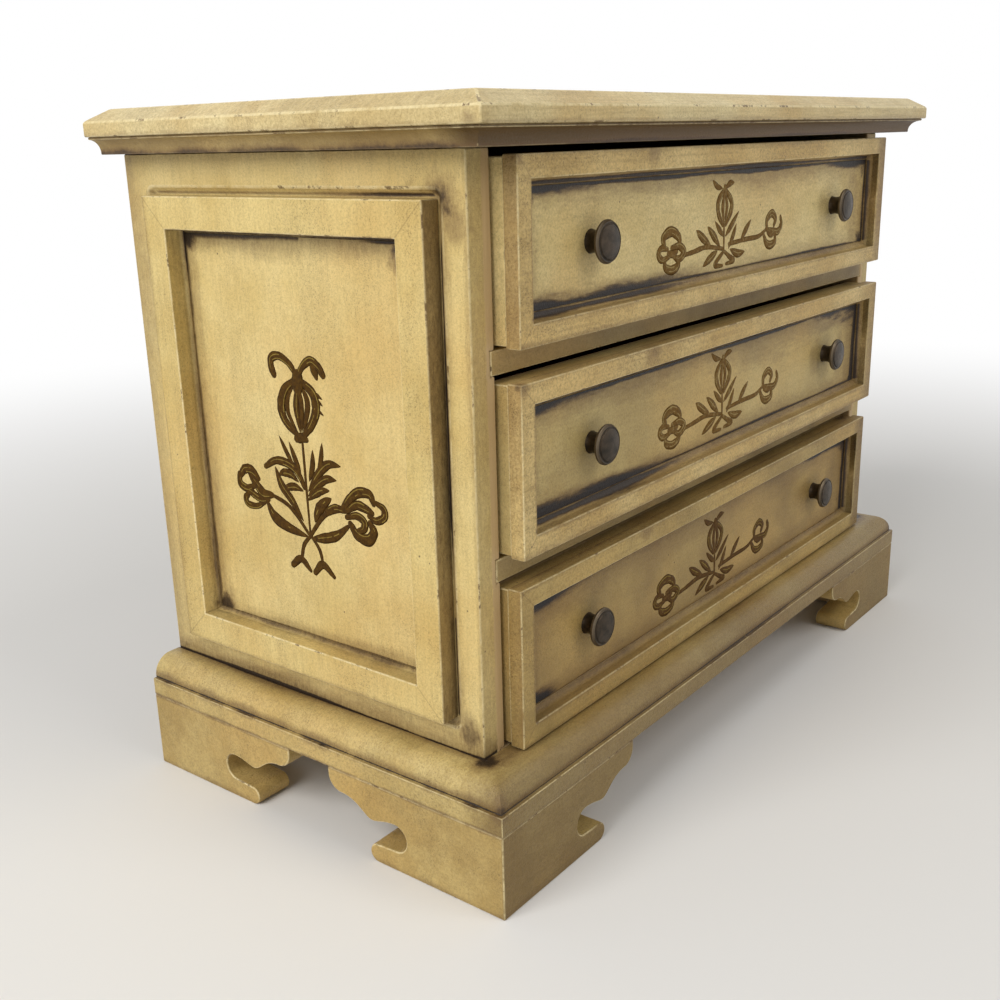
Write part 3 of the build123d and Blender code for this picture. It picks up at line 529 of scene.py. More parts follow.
def velvet_walls(drawer, front, back, low, high):
    """The strip of velvet that is glued round the inside of the drawer, its corners rounded."""
    width, depth, tall = 248.0, back - front, high - low
    corner_radius, saved_at_corners = 1.6, 2.7
    strip = block(drawer + "_drawer_velvet_walls", (width, depth, tall), (0, (front + back) / 2, (low + high) / 2))
    bpy.ops.mesh.select_all(action="DESELECT")
    shape = bmesh.from_edit_mesh(strip.data)
    for face in shape.faces:
        face.select = abs(face.normal.z) > 0.9
    bmesh.update_edit_mesh(strip.data)
    bpy.ops.mesh.delete(type="FACE")
    bpy.ops.mesh.select_all(action="DESELECT")
    shape = bmesh.from_edit_mesh(strip.data)
    for rim in shape.edges:
        rim.select = abs(rim.verts[0].co.z - rim.verts[1].co.z) > 0.5 * tall * mm
    bmesh.update_edit_mesh(strip.data)
    bpy.ops.mesh.bevel(offset=corner_radius * mm, segments=4)
    bpy.ops.object.mode_set(mode="OBJECT")
    cloth = strip.modifiers.new("cloth", "SOLIDIFY")
    cloth.thickness = 0.8 * mm
    cloth.offset = -1
    bpy.ops.object.modifier_apply(modifier=cloth.name)
    round_edges(strip, 0.3, 3, over=60)
    strip.data.shade_smooth()
    return strip


def rounded_end(before, last):
    """Two more points past a stroke's last one, where the brush lifts off in a half circle."""
    heading = (Vector(last[:2]) - Vector(before[:2])).normalized()
    width = last[2]
    return [(last[0] + heading.x * out * width, last[1] + heading.y * out * width, share * width)
            for out, share in ((0.3, 0.8), (0.48, 0.25))]


def brush_stroke(kind, width, points, shift=0.0, ends=(0.0, 1.0)):
    """Sample a stroke as a round brush leaves it: how full it is along its way depends on its kind."""
    knots = [Vector(p) for p in points]
    knots = [2 * knots[0] - knots[1]] + knots + [2 * knots[-1] - knots[-2]]
    count = 4 * (len(points) - 1)
    out = []
    for i in range(count + 1):
        t = ends[0] + (ends[1] - ends[0]) * i / count
        place = min(t * (len(points) - 1), len(points) - 1.0001)
        k, f = int(place), place - int(place)

        # A curve through all the points, and the way that it heads.
        a, b, c, d = knots[k:k + 4]
        second, third = 2 * a - 5 * b + 4 * c - d, 3 * b - a - 3 * c + d
        spot = 0.5 * (2 * b + (c - a) * f + second * f ** 2 + third * f ** 3)
        heading = 0.5 * ((c - a) + 2 * second * f + 3 * third * f ** 2)
        beside = Vector((-heading.y, heading.x)).normalized()
        full = {
            "leaf": 0.1 + 0.9 * sin(pi * t) ** 0.75,
            "bud": 0.25 + 0.75 * sin(pi * (0.25 + 0.62 * t)),
            "petal": 0.4 + 0.6 * sin(pi * (0.1 + 0.8 * t)),
            "stem": 0.8 + 0.2 * sin(pi * t),
            "curl": 0.45 + 0.55 * sin(pi * (0.1 + 0.6 * t)),
        }[kind]
        spot = spot + beside * shift * width * full
        out.append((spot.x, spot.y, width * full * random.uniform(0.93, 1.07)))
    if kind == "leaf":
        return out
    return rounded_end(out[1], out[0])[::-1] + out + rounded_end(out[-2], out[-1])


def painted_strokes(name, strokes, centre, turn, film, material, body):
    """Lay brush strokes as a raised film of paint: each is a list of (u, v, width) in millimetres.

    A stroke is a round bar as thick as it is wide, and film is the share of that thickness that is left.
    """
    curve = bpy.data.curves.new(name, "CURVE")
    curve.dimensions = "3D"
    curve.bevel_depth = 1.0 * mm
    curve.bevel_resolution = 1
    curve.resolution_u = 2
    curve.use_fill_caps = True
    for points in strokes:
        line = curve.splines.new("BEZIER")
        line.bezier_points.add(len(points) - 1)
        for point, (u, v, width) in zip(line.bezier_points, points):
            point.co = (u * mm, v * mm, 0)
            point.handle_left_type = point.handle_right_type = "AUTO"
            point.radius = width / 2
    piece = bpy.data.objects.new(name, curve)
    bpy.context.scene.collection.objects.link(piece)
    select_alone(piece)
    bpy.ops.object.convert(target="MESH")
    piece = bpy.context.object
    piece.name = piece.data.name = name
    flatten = Matrix.Diagonal((1, 1, film, 1))
    piece.data.transform(Matrix.Translation([c * mm for c in centre]) @ turn @ flatten)
    piece.data.shade_smooth()
    piece.data.materials.clear()
    piece.data.materials.append(material)
    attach(piece, body)


def painted_sprig(name, sprig, centre, turn, dark, light, body, slim=0.82, film=0.05):
    """Paint the sprig's strokes, and on the broad ones the pale lines that the bristles leave.

    slim is how much narrower the brush goes on than the table gives.
    """
    strokes = [brush_stroke(kind, slim * width, points) for kind, width, points in sprig]
    painted_strokes(name, strokes, centre, turn, film, dark, body)
    lines = []
    for kind, width, points in sprig:
        if kind == "leaf" and width > 3:
            lines.append((brush_stroke("leaf", slim * width, points, 0.06, (0.2, 0.72)), 0.12))
        if kind in ("petal", "curl") and width > 2.5:
            lines.append((brush_stroke("leaf", slim * width, points, 0.28, (0.12, 0.62)), 0.13))
            lines.append((brush_stroke("leaf", slim * width, points, -0.14, (0.4, 0.86)), 0.1))
    lines = [[(u, v, share * w) for u, v, w in line] for line, share in lines]
    lift = turn @ Vector((0, 0, 0.46 * film * 3))  # near the top of a stroke 3 mm wide
    raised = [c + l for c, l in zip(centre, lift)]
    painted_strokes(name + "_bristle_lines", lines, raised, turn, film, light, body)


# Side sprig: its strokes, u towards the front of the box and v up, with the width where each is fullest.
side_sprig_centre = (-3.1, 122.0)
side_sprig = [
    ("stem", 1.5, [(-2.4, 7.5), (-2.3, 2), (-2.2, -7), (-1.9, -24.5)]),
    ("petal", 4.5, [(-3.2, 26), (-8.6, 22.2), (-10.8, 17), (-9.5, 12.3), (-4.2, 8.2)]),
    ("leaf", 2.6, [(-4.2, 24.2), (-7.4, 20), (-7.8, 15), (-4, 9)]),
    ("leaf", 3.2, [(-2.8, 24.4), (-4.0, 17.4), (-2.9, 9)]),
    ("leaf", 2.8, [(-2.2, 24), (-1.6, 17.9), (-2.3, 9)]),
    ("leaf", 3.0, [(-1.2, 24.4), (1.2, 18.6), (-1.7, 9)]),
    ("petal", 4.6, [(-2, 26), (3.5, 22.6), (4.8, 17.6), (2.5, 12.6), (-1.6, 8.2)]),
    ("bud", 7.0, [(-2.4, 27), (-2.6, 24.5), (-2.8, 21.6)]),
    ("bud", 4.2, [(-4.8, 7.0), (-2.6, 7.6), (-0.4, 7.2)]),
    ("leaf", 1.7, [(2.6, 23.4), (5.2, 22.2), (7.9, 20.8)]),
    ("leaf", 1.5, [(3.6, 20.6), (5.9, 20), (7.9, 18.8)]),
    ("leaf", 1.5, [(3.8, 17.2), (6, 17), (8, 15.8)]),
    ("curl", 3.7, [(-2.6, 26.2), (-5.4, 30.3), (-10, 32.6), (-13.6, 31.7), (-14, 29), (-13, 26.6)]),
    ("curl", 3.6, [(-2.3, 26.2), (-0.3, 29.8), (3.6, 32.4), (6.8, 30.9), (8.8, 28.4)]),
    ("bud", 3.4, [(4.4, 30.6), (5.4, 28.8), (6.0, 27.2)]),
    ("bud", 3.6, [(-14.4, 30), (-13.7, 28.2), (-12.6, 26.8)]),
    ("petal", 3.8, [(-3.0, -8.5), (-5.4, -4.4), (-9.3, -1.9), (-15.4, -1.5), (-20.6, -4.2)]),
    ("leaf", 3.6, [(-5.4, -7.2), (-8.8, -5.2), (-12, -5), (-14.8, -6.2)]),
    ("leaf", 3.5, [(-3.6, -9.8), (-7.2, -9), (-10.4, -9.6), (-13, -10.8)]),
    ("leaf", 3.0, [(-4.2, -5.6), (-6, -0.6), (-8.6, 5.6)]),
    ("leaf", 2.4, [(-6.6, -3), (-9.8, 1.6), (-13, 7)]),
    ("leaf", 3.0, [(-0.6, -6.2), (1.3, -1.2), (1.9, 4.4)]),
    ("leaf", 2.6, [(3.2, -4.4), (5.3, 1.5), (6.3, 7.2)]),
    ("leaf", 4.0, [(-1.4, -9.6), (3.6, -3.2), (8.4, 0.6), (13.8, 0.8)]),
    ("leaf", 3.7, [(-1.6, -11.2), (3.2, -6.6), (7.4, -4.2), (11.6, -4)]),
    ("leaf", 3.6, [(-1.8, -12.6), (1.6, -10), (4.6, -8.4), (8.2, -7.8)]),
    ("leaf", 4.2, [(-16, -3.6), (-13.6, -9.4), (-9.2, -14), (-4.6, -20)]),
    ("stem", 2.0, [(-2.2, -24.4), (-7.6, -18.6), (-12.3, -15.3), (-20.1, -13.2)]),
    ("petal", 4.6, [(-18.5, -13.6), (-22.8, -13.6), (-25.6, -11.4), (-28.6, -8.2)]),
    ("petal", 4.2, [(-24.6, -9), (-27.6, -6.6), (-31.2, -6.8), (-33.6, -9.4)]),
    ("petal", 4.0, [(-34, -8.6), (-33.8, -12), (-30.6, -13.2), (-27, -11.8)]),
    ("petal", 3.6, [(-20.4, -15.4), (-24.6, -15.8), (-28.6, -14.4), (-31.6, -13.2)]),
    ("curl", 3.2, [(-22.4, -16.6), (-26.4, -18.6), (-30.8, -18.6), (-31.8, -16.6), (-30.6, -15.4)]),
    ("leaf", 5.2, [(-21.6, -15.6), (-18.4, -20.6), (-12.6, -23.2), (-2.6, -25)]),
    ("leaf", 4.8, [(0.6, -19.4), (2.6, -15.2), (5.6, -12.2), (8.8, -10.2)]),
    ("stem", 2.4, [(-1.8, -24.2), (4.2, -17.2), (8.7, -14.5), (14.8, -12.6)]),
    ("petal", 3.4, [(6, -14.8), (10.4, -13), (14.6, -13.4)]),
    ("petal", 4.2, [(13.4, -12.8), (16.6, -9.2), (20.6, -6.4), (25.2, -6.2), (26.8, -9)]),
    ("petal", 3.5, [(27.6, -8.4), (30.8, -9.8), (30.9, -12.4), (27.6, -14.2), (24.6, -13.2)]),
    ("petal", 4.0, [(15, -13.3), (19.4, -10.6), (23.2, -11), (26, -12)]),
    ("petal", 3.8, [(15, -15.2), (19.4, -14), (22.4, -15.4), (22, -17.8), (19.6, -18.8)]),
    ("petal", 4.8, [(16.4, -17), (19.4, -20.4), (23.8, -21), (26.2, -18), (24.9, -15.4)]),
    ("leaf", 4.4, [(-1.6, -25.2), (3.8, -24.2), (10.2, -22), (16.8, -17)]),
    ("stem", 2.0, [(-2, -24.6), (-5.2, -28), (-6.8, -33)]),
    ("bud", 3.4, [(-11.2, -36), (-7.1, -33.2), (-3, -36.4)]),
    ("stem", 1.9, [(-1.4, -24.6), (1.8, -28.4), (2.9, -32.6)]),
    ("bud", 3.4, [(-0.9, -36.6), (2.9, -33.2), (7.6, -36.4)]),
]

# Drawer sprig: u to the right and v up from the middle of its stem.
drawer_sprig = [
    ("leaf", 2.4, [(-6.6, 15.2), (-3.4, 13), (0.8, 12.2)]),
    ("leaf", 2.6, [(9.2, 13.8), (5.8, 13.6), (2.2, 11.8)]),
    ("petal", 3.2, [(2.2, 12), (-2, 8.2), (-1.8, 4), (1.4, 0)]),
    ("petal", 3.2, [(2.6, 12), (7.4, 7.6), (7, 4), (3.6, 0)]),
    ("leaf", 2.6, [(2.3, 11.4), (1.2, 6), (2.2, 0.6)]),
    ("leaf", 2.6, [(2.5, 11.4), (4.2, 6), (2.8, 0.6)]),
    ("bud", 2.8, [(2.3, 12.6), (2.4, 11), (2.4, 9.6)]),
    ("leaf", 2.6, [(-4.2, 1.6), (-0.6, -1.6), (3, -4)]),
    ("leaf", 2.8, [(13.4, 4), (7.6, -0.8), (3.4, -4)]),
    ("stem", 1.5, [(2.4, 0.8), (2.6, -4), (2.7, -9)]),
    ("leaf", 3.6, [(-17.2, -0.4), (-12.8, -3.2), (-6.4, -6.6)]),
    ("leaf", 3.4, [(-9.4, 0.2), (-4.9, -3.2), (0, -7.2)]),
    ("leaf", 2.8, [(11.8, -0.2), (9.2, -4.4), (6, -8.4)]),
    ("leaf", 3.0, [(23, 0.4), (18.9, -3), (15.2, -6.4)]),
    ("stem", 2.0, [(1.6, -8), (-9.7, -6.5), (-18.6, -7.3), (-25.6, -7.9)]),
    ("stem", 2.0, [(6.4, -6.8), (18.2, -6.2), (29.1, -6), (34.4, -4.4)]),
    ("petal", 4.0, [(-37.8, -4.4), (-38.6, -1.2), (-33.6, 0.4), (-28.8, -1.8), (-28.2, -4.6)]),
    ("petal", 3.0, [(-35.8, -5), (-39.9, -4.4), (-41.6, -6.4), (-38.7, -8.2), (-33, -6.8)]),
    ("petal", 3.4, [(-33.4, -4.8), (-28.4, -4.6), (-25.2, -6.8), (-28.6, -8.8), (-32.4, -7.2)]),
    ("petal", 3.6, [(-37.9, -8.6), (-37, -10.8), (-33.2, -11.9), (-29.4, -11), (-28.3, -8.8)]),
    ("bud", 3.0, [(-35.4, -6.4), (-32.6, -6.8), (-29.8, -6.2)]),
    ("petal", 3.4, [(36.2, -4), (36, -0.6), (39.8, 1.5), (43, -0.5), (42, -2.8)]),
    ("petal", 3.2, [(47.3, -0.2), (48.2, -2.9), (45.8, -5.3), (41.8, -5), (35.3, -3.9)]),
    ("petal", 3.6, [(33.7, -5.8), (36, -8.8), (39.4, -9.9), (43.2, -8.9), (43.2, -6.4)]),
    ("bud", 3.0, [(37, -5), (40, -6), (43, -5.6)]),
    ("leaf", 3.4, [(-1.8, -8.4), (-6.8, -10.4), (-12.2, -12.8)]),
    ("leaf", 3.4, [(7.2, -8.6), (13.2, -10.6), (18.8, -10.4)]),
    ("petal", 2.4, [(3, -8.9), (-0.9, -11.1), (-3.5, -13.2), (2, -13.8)]),
    ("petal", 2.4, [(3, -8.9), (7.3, -11.3), (10.5, -12.8), (4.7, -13.4)]),
]
sprig_centre = {"top": (-7.5, 186.5), "middle": (-5.0, 127.6), "bottom": (-4.0, 65.8)}

# Milk paint on the case. Each run of glaze ends with the way that it runs and how far.
up_case, along_case = (Z, 41, 215), (Y, -72, 72)
up_frame, up_field = (Z, 50, 204), (Z, field_low, field_high)
along_field = (Y, field_front, field_rear)
along_moulding, along_half = (X, -moulding_end, moulding_end), (X, 0, moulding_end)
# The side boards are straw cream, with black dregs in the groove round each frame.
paint_side = antique_paint(
    "side_board", "#DEC788", "#D0B674", Z, mirrored=True, streaks=0.16, bare=(X, -1, 134),
    grit=0.3, grime=0.22,
    pools=[
        # Inside the frame, round the sunk field.
        (Z, field_high, 11, 0.45, *along_field), (Z, field_high, 2.8, 1.05, Y, -6, field_rear),
        (Z, field_high, 1.6, 1.2, Y, field_front, -20, 1, 20), (Y, field_front, 2.2, 1.2, Z, 150, 191, 34, 1),
        (Y, field_rear, 9, 0.5, *up_field), (Y, field_rear, 2.2, 0.85, *up_field),
        (Y, field_front, 5, 0.35, *up_field), (Z, field_low, 7, 0.45, *along_field),
        (Z, field_low, 1.0, 0.85, *along_field),
        # In the groove outside the frame, and painted shade below its bottom member.
        (Y, groove_front, 1.7, 1.35, Z, 84, 198, 30, 10), (Y, groove_front, 1.8, 1.2, Z, 52, 84),
        (Y, groove_front - 0.7, 5, 0.66, *up_frame), (Y, groove_rear, 4, 0.5, *up_frame),
        (Z, groove_high, 1.1, 1.0, Y, -60, 10, 1, 50), (Z, groove_high, 1.0, 0.7, Y, -60, 58),
        (Z, groove_low, 5, 0.7, Y, -62, 60),
        # Along the board's own edges: painted shadow of the cornice with glaze under it, painted shade with glaze
        # over the base, and painted shade on the front edge.
        (Y, -71.3, 2.4, 0.35, *up_case), (Y, 71.7, 5, 0.5, *up_case), (Y, 72, 16, 0.5, *up_case),
        (Z, base_top, 13, 0.72, *along_case), (Z, base_top, 1.7, 1.3, *along_case),
        (Z, case_top, 4, 0.34, *along_case), (Z, case_top, 0.9, 1.1, *along_case),
    ],
    spots=[
        ((side_field, 46, 190), 9, 1.15), ((side_field, -48, 190), 13, 1.3),
        ((side_field, 46, 63.5), 12, 1.0), ((side_field, -47, 64), 6, 0.66),
        ((case_side, -61, 204), 12, 1.0), ((case_side, -66, 196), 8, 0.6), ((case_side, -66, 46), 12, 0.8),
    ],
)
# Their frames stand proud, so they were wiped cleaner.
paint_side_frame = antique_paint(
    "side_frame", "#DAC382", "#CBB06C", Z, mirrored=True, streaks=0.2, grit=0.34,
    mitre=((Z, 126.85), (Y, -0.825), 16.2),
    pools=[
        (X, 138.6, 4.0, 0.42, *up_frame), (Y, -60.1, 0.8, 0.72, Z, 51, 203), (Y, 58.4, 2.5, 0.45, Z, 51, 203),
        (X, 138.2, 1.8, 0.8, *up_frame), (Z, 191.6, 1.2, 1.1, Y, -49, 48), (Z, 51.4, 2, 0.4, Y, -60, 58),
        (Y, 46.9, 1.6, 1.25, Z, 160, 192, 26, 1), (Y, 46.9, 1.6, 0.6, Z, 63, 192),
    ],
    spots=[((139, 47.2, 64), 4, 0.9)],
)
# The top is pale, rather glossy and streaked by the brush.
paint_top = antique_paint(
    "top", "#DFCD99", "#C9B27B", X, streaks=0.42, sheen=(0.34, 0.52),
    pools=[(Z, 220.4, 2.2, 0.5, *along_moulding)], spots=[((-153, -84, 221.5), 5, 0.62)],
)
# The cornice, the base and the feet are browned in front with painted shade, where less light reaches them:
# the cornice is also darker all over for the shade under its own overhang, and the base and the feet lie under
# the drawers. The cornice is the dullest, the base the glossiest.
paint_cornice = antique_paint(
    "cornice", "#B09862", "#927845", X, streaks=0.5, sheen=(0.44, 0.6), painted_shade=(Y, -1, 68, 12, 0.97),
    pools=[
        # Painted shade along its lower edge and across its front, with glaze.
        (Z, case_top, 2.6, 0.9, *along_moulding), (Z, 220.3, 1.2, 0.6, *along_moulding),
        (Y, -88, 14, 0.4, *along_moulding),
    ],
)
paint_base = antique_paint(
    "base", "#CDB678", "#B79D5E", X, mirrored=True, streaks=0.3, grit=0.5, sheen=(0.3, 0.48),
    relief=0.26, painted_shade=(Y, -1, 70, 14, 0.52),
    pools=[
        # Glaze in the quirk, along the feet and against the side boards; painted shade across the front and under
        # the drawers.
        (Z, quirk, 0.6, 1.15, *along_half), (Z, 34.8, 3.0, 0.66, *along_half),
        (Z, foot_top, 1.3, 0.7, *along_half), (Y, -90, 19, 0.34, *along_half),
        (X, case_side, 6, 0.72, Y, -74, 73), (Y, -74, 9, 0.76, X, 0, case_side),
        (X, case_side, 1.4, 1.3, Y, -74, 73),
    ],
    spots=[((case_side, -73, base_top), 9, 1.25), ((152, 84, 35), 7, 1.2), ((151, -86, 35), 6, 0.9)],
)
paint_feet = antique_paint(
    "feet", "#C2A96C", "#AA8E52", X, mirrored=True, streaks=0.3, grit=0.46,
    painted_shade=(Y, -1, 86.6, 0.6, 0.58),
    # Darker along the top joint and the bottom edge, and painted shade on the front face.
    pools=[(Z, foot_top, 1.2, 0.66, *along_half), (Z, 0, 3, 0.5, *along_half), (Y, -87.4, 0.8, 0.16, *along_half)],
)
# The rails between the drawers: darker towards the back, painted shade under the drawers with glaze.
paint_rail = antique_paint("rail", "#A89262", "#8E784C", X, pools=[(Y, -64, 9, 0.7, X, -130, 130)])

worn_copy("left_side_board", paint_side, "case", 0.7)
worn_copy("right_side_board", paint_side, "case", 0.7)
worn_copy("left_side_frame", paint_side_frame, "case", 0.5, mitre=(Y, Z))
worn_copy("right_side_frame", paint_side_frame, "case", 0.5, mitre=(Y, Z))
worn_copy("top_board", paint_top, "case", 0.6)
worn_copy("cornice_moulding", paint_cornice, "case", 0.35, mitre=(X, Y))
worn_copy("base_moulding", paint_base, "case", 0.35, mitre=(X, Y))
for foot in ("front_left_foot", "front_right_foot", "rear_left_foot", "rear_right_foot"):
    worn_copy(foot, paint_feet, "case", 0.5, mitre=(X, Y))
for rail in ("lower_drawer_rail", "upper_drawer_rail"):
    worn_copy(rail, paint_rail, "case", 0.5)

# Drawer fronts: the lower they are, the browner. The glaze on their fields turns black, and on the upper two
# it lies widest at the bottom left. Along the top of each field it is painted shadow of the frame as well.
board_tones = {
    "top": ("#E5D094", "#D5BE80"), "middle": ("#C6B076", "#B09962"), "bottom": ("#AC925A", "#927848"),
}
across_field, across_front = (X, -121, 121), (X, -130, 130)
for drawer in drawers:
    floor, field = drawer_floor[drawer], drawer_field[drawer]
    low, high = floor + 9.15, floor + 42.65
    outer_low, outer_high = floor + 0.5, floor + 51.3
    up_field, up_front = (Z, low, high), (Z, outer_low, outer_high)
    lowest = drawer == "bottom"
    right_end = 14.0 if drawer == "middle" else 5.0
    if lowest:
        frame_tones, left_wall_glaze_and_shade, top_wall_glaze_and_shade, ledge = ("#B99F62", "#9C824A"), 0.9, 0.8, []
        lower_band = [
            (Z, low, 2.4, 0.55, *across_field), (Z, low, 7, 1.8, X, -124, -98, 1, 20),
            (X, -front_side, 4, 1.6, Z, low - 1, low + 14, 1, 10),
        ]
    else:
        frame_tones, left_wall_glaze_and_shade, top_wall_glaze_and_shade = ("#DCC183", "#C2A364"), 1.1, 1.2
        ledge = [(Z, low - 1.0, 1.7, 1.4, X, -124, 16, 1, 90)]
        lower_band = [(Z, low, 6.4, 1.4, X, -124, 12, 1, 90), (Z, low, 1.8, 1.1, *across_field)]
    board_paint = antique_paint(
        drawer + "_drawer_board", *board_tones[drawer], X, streaks=0.14, relief=0.26,
        bare=(Y, 1, -68.5), grime=0.2, dregs="#131216",
        pools=[
            # Along the top: painted shadow of the frame's top member, with glaze in it.
            (Z, high, 13, 0.55, *across_field), (Z, high, 2.2, 1.3, *across_field),
            (Z, high, right_end, 1.5, X, 56, 124, 34, 1), (Z, high, 6.5, 1.3, X, -124, -40, 1, 76),
            (Z, low, 9, 0.4, *across_field), *lower_band,
            (X, -front_side, 9, 0.55, *up_field), (X, -front_side, 1.6, 1.1, *up_field),
            (X, front_side, 30, 0.62, *up_field), (X, front_side, 6, 1.2, *up_field),
        ],
        spots=[
            ((-120, field, high), 8, 1.0), ((120, field, high), 14, 1.0), ((-120, field, low), 9, 1.2),
            ((120, field, low), 11, 1.5), ((79, field, floor + 27), 12, 0.45),
        ],
    )
    frame_paint = antique_paint(
        drawer + "_drawer_frame", *frame_tones, X, streaks=0.4, grit=0.62, grime=0.42, relief=0.3,
        mitre=((X, 0), (Z, floor + 25.9), 104.1),
        pools=[
            # Darker deep in the frame towards the field, and on its top and left inner walls: painted shade with
            # glaze.
            (Y, field, 3.6, 0.72, X, -129, 129), *ledge,
            (X, front_end, 12, 0.66, *up_front), (Z, outer_low, 2.4, 0.5, *across_front),
            (Z, outer_high, 1.8, 0.4, *across_front), (Z, high + 0.9, 1.3, top_wall_glaze_and_shade, *across_field),
            (X, -121.8, 1.3, left_wall_glaze_and_shade, *up_field), (X, 122, 1.6, 1.15, *up_field),
            (X, -123.4, 1.0, 0.5, Z, low - 2, high + 2), (Z, low - 2.4, 1.4, 0.5, X, -123, 123),
            (X, -129.8, 0.8, 0.6, *up_front),
        ],
        spots=[((-129, -79, outer_high), 6, 0.75), ((-60, -79, outer_high), 7, 0.6)],
    )
    body = drawer + "_drawer"
    worn_copy(drawer + "_drawer_front_board", board_paint, body, 0.5)
    worn_copy(drawer + "_drawer_front_frame", frame_paint, body, 0.45, mitre=(X, Z))

pile = velvet()
slot_of = {
    # Limewood, planed and sanded: matt and pale, its grain a millimetre wide and 20 mm long.
    "plain_wood": plain_finish("sanded_limewood", "#C9AE82", "#B3966A", (0.05, 0.9, 0.9), 0.6),
    # Thin plywood under a walnut stain: a flat brown with an upright grain.
    "stained_plywood": plain_finish("stained_plywood", "#7A5C36", "#5E4426", (0.9, 0.9, 0.04), 0.55),
    # Steel, polished: cool grey, bright, with a faint cloudiness 2 mm wide.
    "steel": plain_finish("polished_steel", "#B9BBBD", "#A4A7AA", (0.5, 0.5, 0.5), 0.3, 1.0, 0.01),
    # Nickel plate: bright, and warmer than steel.
    "nickel": plain_finish("nickel_plate", "#C9C3B6", "#B7B0A2", (0.5, 0.5, 0.5), 0.25, 1.0, 0.01),
    # Brass as it comes from the rolls: yellow, with fine lines along it.
    "brass": plain_finish("rolled_brass", "#C9A35A", "#B08A42", (0.1, 1.2, 0.1), 0.3, 1.0, 0.01),
    # Zinc, cast: dull grey with the mould's mottled skin.
    "zinc_casting": plain_finish("cast_zinc", "#9A9C9C", "#858786", (0.8, 0.8, 0.8), 0.45, 1.0, 0.03),
    # Nylon, moulded: milky, smooth and a little waxy.
    "nylon": plain_finish("moulded_nylon", "#E4DDC8", "#D8D0B8", (0.3, 0.3, 0.3), 0.4),
    "dark_pewter": knob_metal(),
    "velvet": pile,
    "painted_wood": paint_rail,
}
# The same limewood where its grain runs from front to back.
sanded_side = plain_finish("sanded_limewood_sides", "#C9AE82", "#B3966A", (0.9, 0.05, 0.9), 0.6)

for drawer in drawers:
    low_corner, high_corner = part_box(drawer + "_drawer_lining")
    front, back, base = low_corner.y / mm, high_corner.y / mm, low_corner.z / mm
    pad = velvet_pad(drawer, front + 1.4, back - 1.4, base)
    walls = velvet_walls(drawer, front + 0.2, back - 0.2, base + 0.1, high_corner.z / mm - 0.2)
    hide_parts(drawer + "_drawer_lining")
    for piece in (pad, walls):
        piece.data.materials.append(pile)
        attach(piece, drawer + "_drawer")

for part in frame["record"]["subparts"]:
    if not nodes[part["node"]].hide_render:
        paint_nodes(slot_of[part["material_slot"]], part["node"])
paint_nodes(sanded_side, *(drawer + "_drawer_sides" for drawer in drawers))

# Painted sprigs: dark on the sides, faded on the upper drawers, browned on the lowest.
umber = sprig_paint("sprig_umber", "#341F00", "#503504", "#7E5F1E", 0.2)
umber_lines = sprig_paint("sprig_umber_bristle_lines", "#6B5620", "#8A7434", "#A8924E", 0.4)
faded = sprig_paint("sprig_faded_umber", "#5A3F12", "#755624", "#AD9A66", 0.45)
browned_umber = sprig_paint("sprig_browned_umber", "#42290A", "#5A3D12", "#8A7040", 0.35)
faded_lines = sprig_paint("sprig_faded_bristle_lines", "#8E7846", "#9C8755", "#AD9A66", 0.5)

# Each turns a sprig's u, its v and the thickness of its paint to the way that one face looks.
turn_left = Matrix(((0, 0, -1, 0), (-1, 0, 0, 0), (0, 1, 0, 0), (0, 0, 0, 1)))
turn_right = Matrix(((0, 0, 1, 0), (-1, 0, 0, 0), (0, 1, 0, 0), (0, 0, 0, 1)))
turn_front = Matrix(((1, 0, 0, 0), (0, 0, -1, 0), (0, 1, 0, 0), (0, 0, 0, 1)))
for side, x, turn in (("left", -side_field, turn_left), ("right", side_field, turn_right)):
    painted_sprig(side + "_side_sprig", side_sprig, (x, *side_sprig_centre), turn, umber, umber_lines, "case")
for drawer in drawers:
    x, z = sprig_centre[drawer]
    paints = (browned_umber, umber_lines) if drawer == "bottom" else (faded, faded_lines)
    painted_sprig(drawer + "_drawer_sprig", drawer_sprig, (x, drawer_field[drawer], z), turn_front, *paints,
                  drawer + "_drawer", slim=0.9)

# Camera at the photograph's place, for a square picture.
camera_place = Vector((-378.85, -267.14, 217.17)) * mm
yaw, pitch, roll = radians(51.87), radians(-17.17), radians(-1.5)
forward = Vector((sin(yaw) * cos(pitch), cos(yaw) * cos(pitch), sin(pitch)))
right = forward.cross(Vector((0, 0, 1))).normalized()
up = right.cross(forward)
tilted_right = cos(roll) * right + sin(roll) * up
tilted_up = cos(roll) * up - sin(roll) * right
bpy.ops.object.camera_add()
camera = bpy.context.object
camera.matrix_world = Matrix.Translation(camera_place) @ Matrix(
    (tilted_right, tilted_up, -forward)).transposed().to_4x4()
camera.data.lens = 42.25
camera.data.sensor_width = 36
camera.data.sensor_fit = "HORIZONTAL"
bpy.context.scene.camera = camera


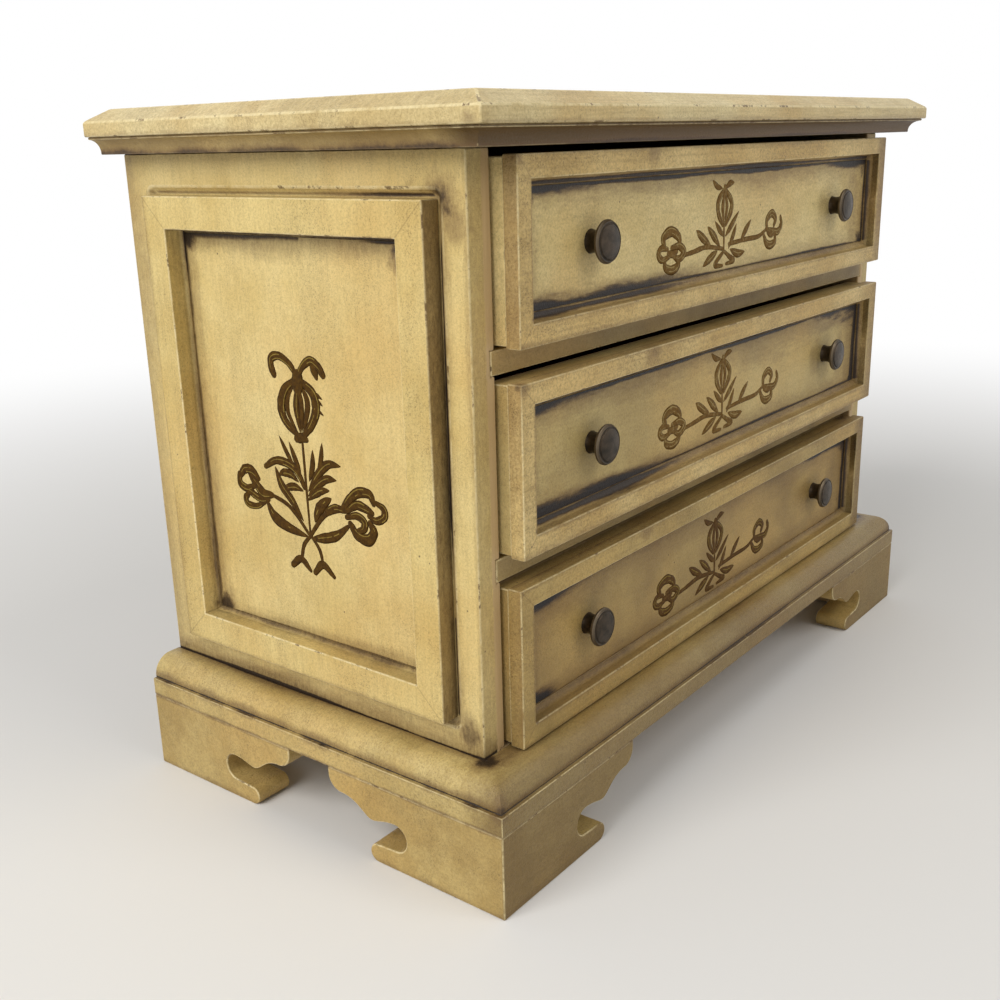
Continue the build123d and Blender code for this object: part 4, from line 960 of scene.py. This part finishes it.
def seen_directly(tree):
    """1 for what the eye sees straight on, mirrored in metal or through glass, and 0 for the light on it."""
    rays = add(tree, "LightPath").outputs
    seen = add(tree, "Math", {0: rays["Is Camera Ray"], 1: rays["Is Glossy Ray"]}, operation="MAXIMUM")
    return add(tree, "Math", {0: seen, 1: rays["Is Transmission Ray"]}, operation="MAXIMUM")


# Pale floor that keeps the shadow and fades to white from 260 to 900 mm away.
bpy.ops.object.select_all(action="DESELECT")
bpy.ops.mesh.primitive_plane_add(size=6)
floor_plane = bpy.context.object
floor_plane.name = "floor"
material, tree, shader, place = new_material("pale_floor")
shader.inputs["Base Color"].default_value = hex_colour("#E4E2DE")
shader.inputs["Roughness"].default_value = 0.7
away = add(tree, "VectorMath", {0: place}, operation="LENGTH").outputs["Value"]
away = add(tree, "MapRange", {"Value": away, "From Min": 260, "From Max": 900}, interpolation_type="SMOOTHSTEP")
fading = add(tree, "Math", {0: seen_directly(tree), 1: away}, operation="MULTIPLY")
white = add(tree, "Emission", {"Color": "#FFFFFF", "Strength": 1})
mixed = add(tree, "MixShader", {0: fading, 1: shader.outputs[0], 2: white.outputs[0]})
tree.links.new(mixed.outputs[0], next(n for n in tree.nodes if n.type == "OUTPUT_MATERIAL").inputs[0])
floor_plane.data.materials.append(material)

# A plain white room, which lights the box at 0.4 of its full white.
world = bpy.data.worlds.new("studio")
bpy.context.scene.world = world
world.use_nodes = True
tree = world.node_tree
tree.nodes.clear()
level = add(tree, "MapRange", {"Value": seen_directly(tree), "To Min": 0.4, "To Max": 1.0})
sky = add(tree, "Background", {"Color": "#FFFFFF", "Strength": level})
output = add(tree, "OutputWorld")
tree.links.new(sky.outputs[0], output.inputs[0])


def soft_lamp(name, place, size, power):
    """A square lamp, size metres wide, turned to the middle of the box."""
    bpy.ops.object.light_add(type="AREA", location=place)
    lamp = bpy.context.object
    lamp.name = name
    lamp.data.shape = "SQUARE"
    lamp.data.size = size
    lamp.data.energy = power
    lamp.rotation_euler = (Vector((0, 0, 0.12)) - Vector(place)).to_track_quat("-Z", "Y").to_euler()


soft_lamp("window_left", (-1.4, 0.1, 1.1), 1.1, 21)
soft_lamp("fill_front", (0.2, -1.4, 1.4), 1.0, 9.5)

bpy.context.scene.view_settings.view_transform = "Standard"
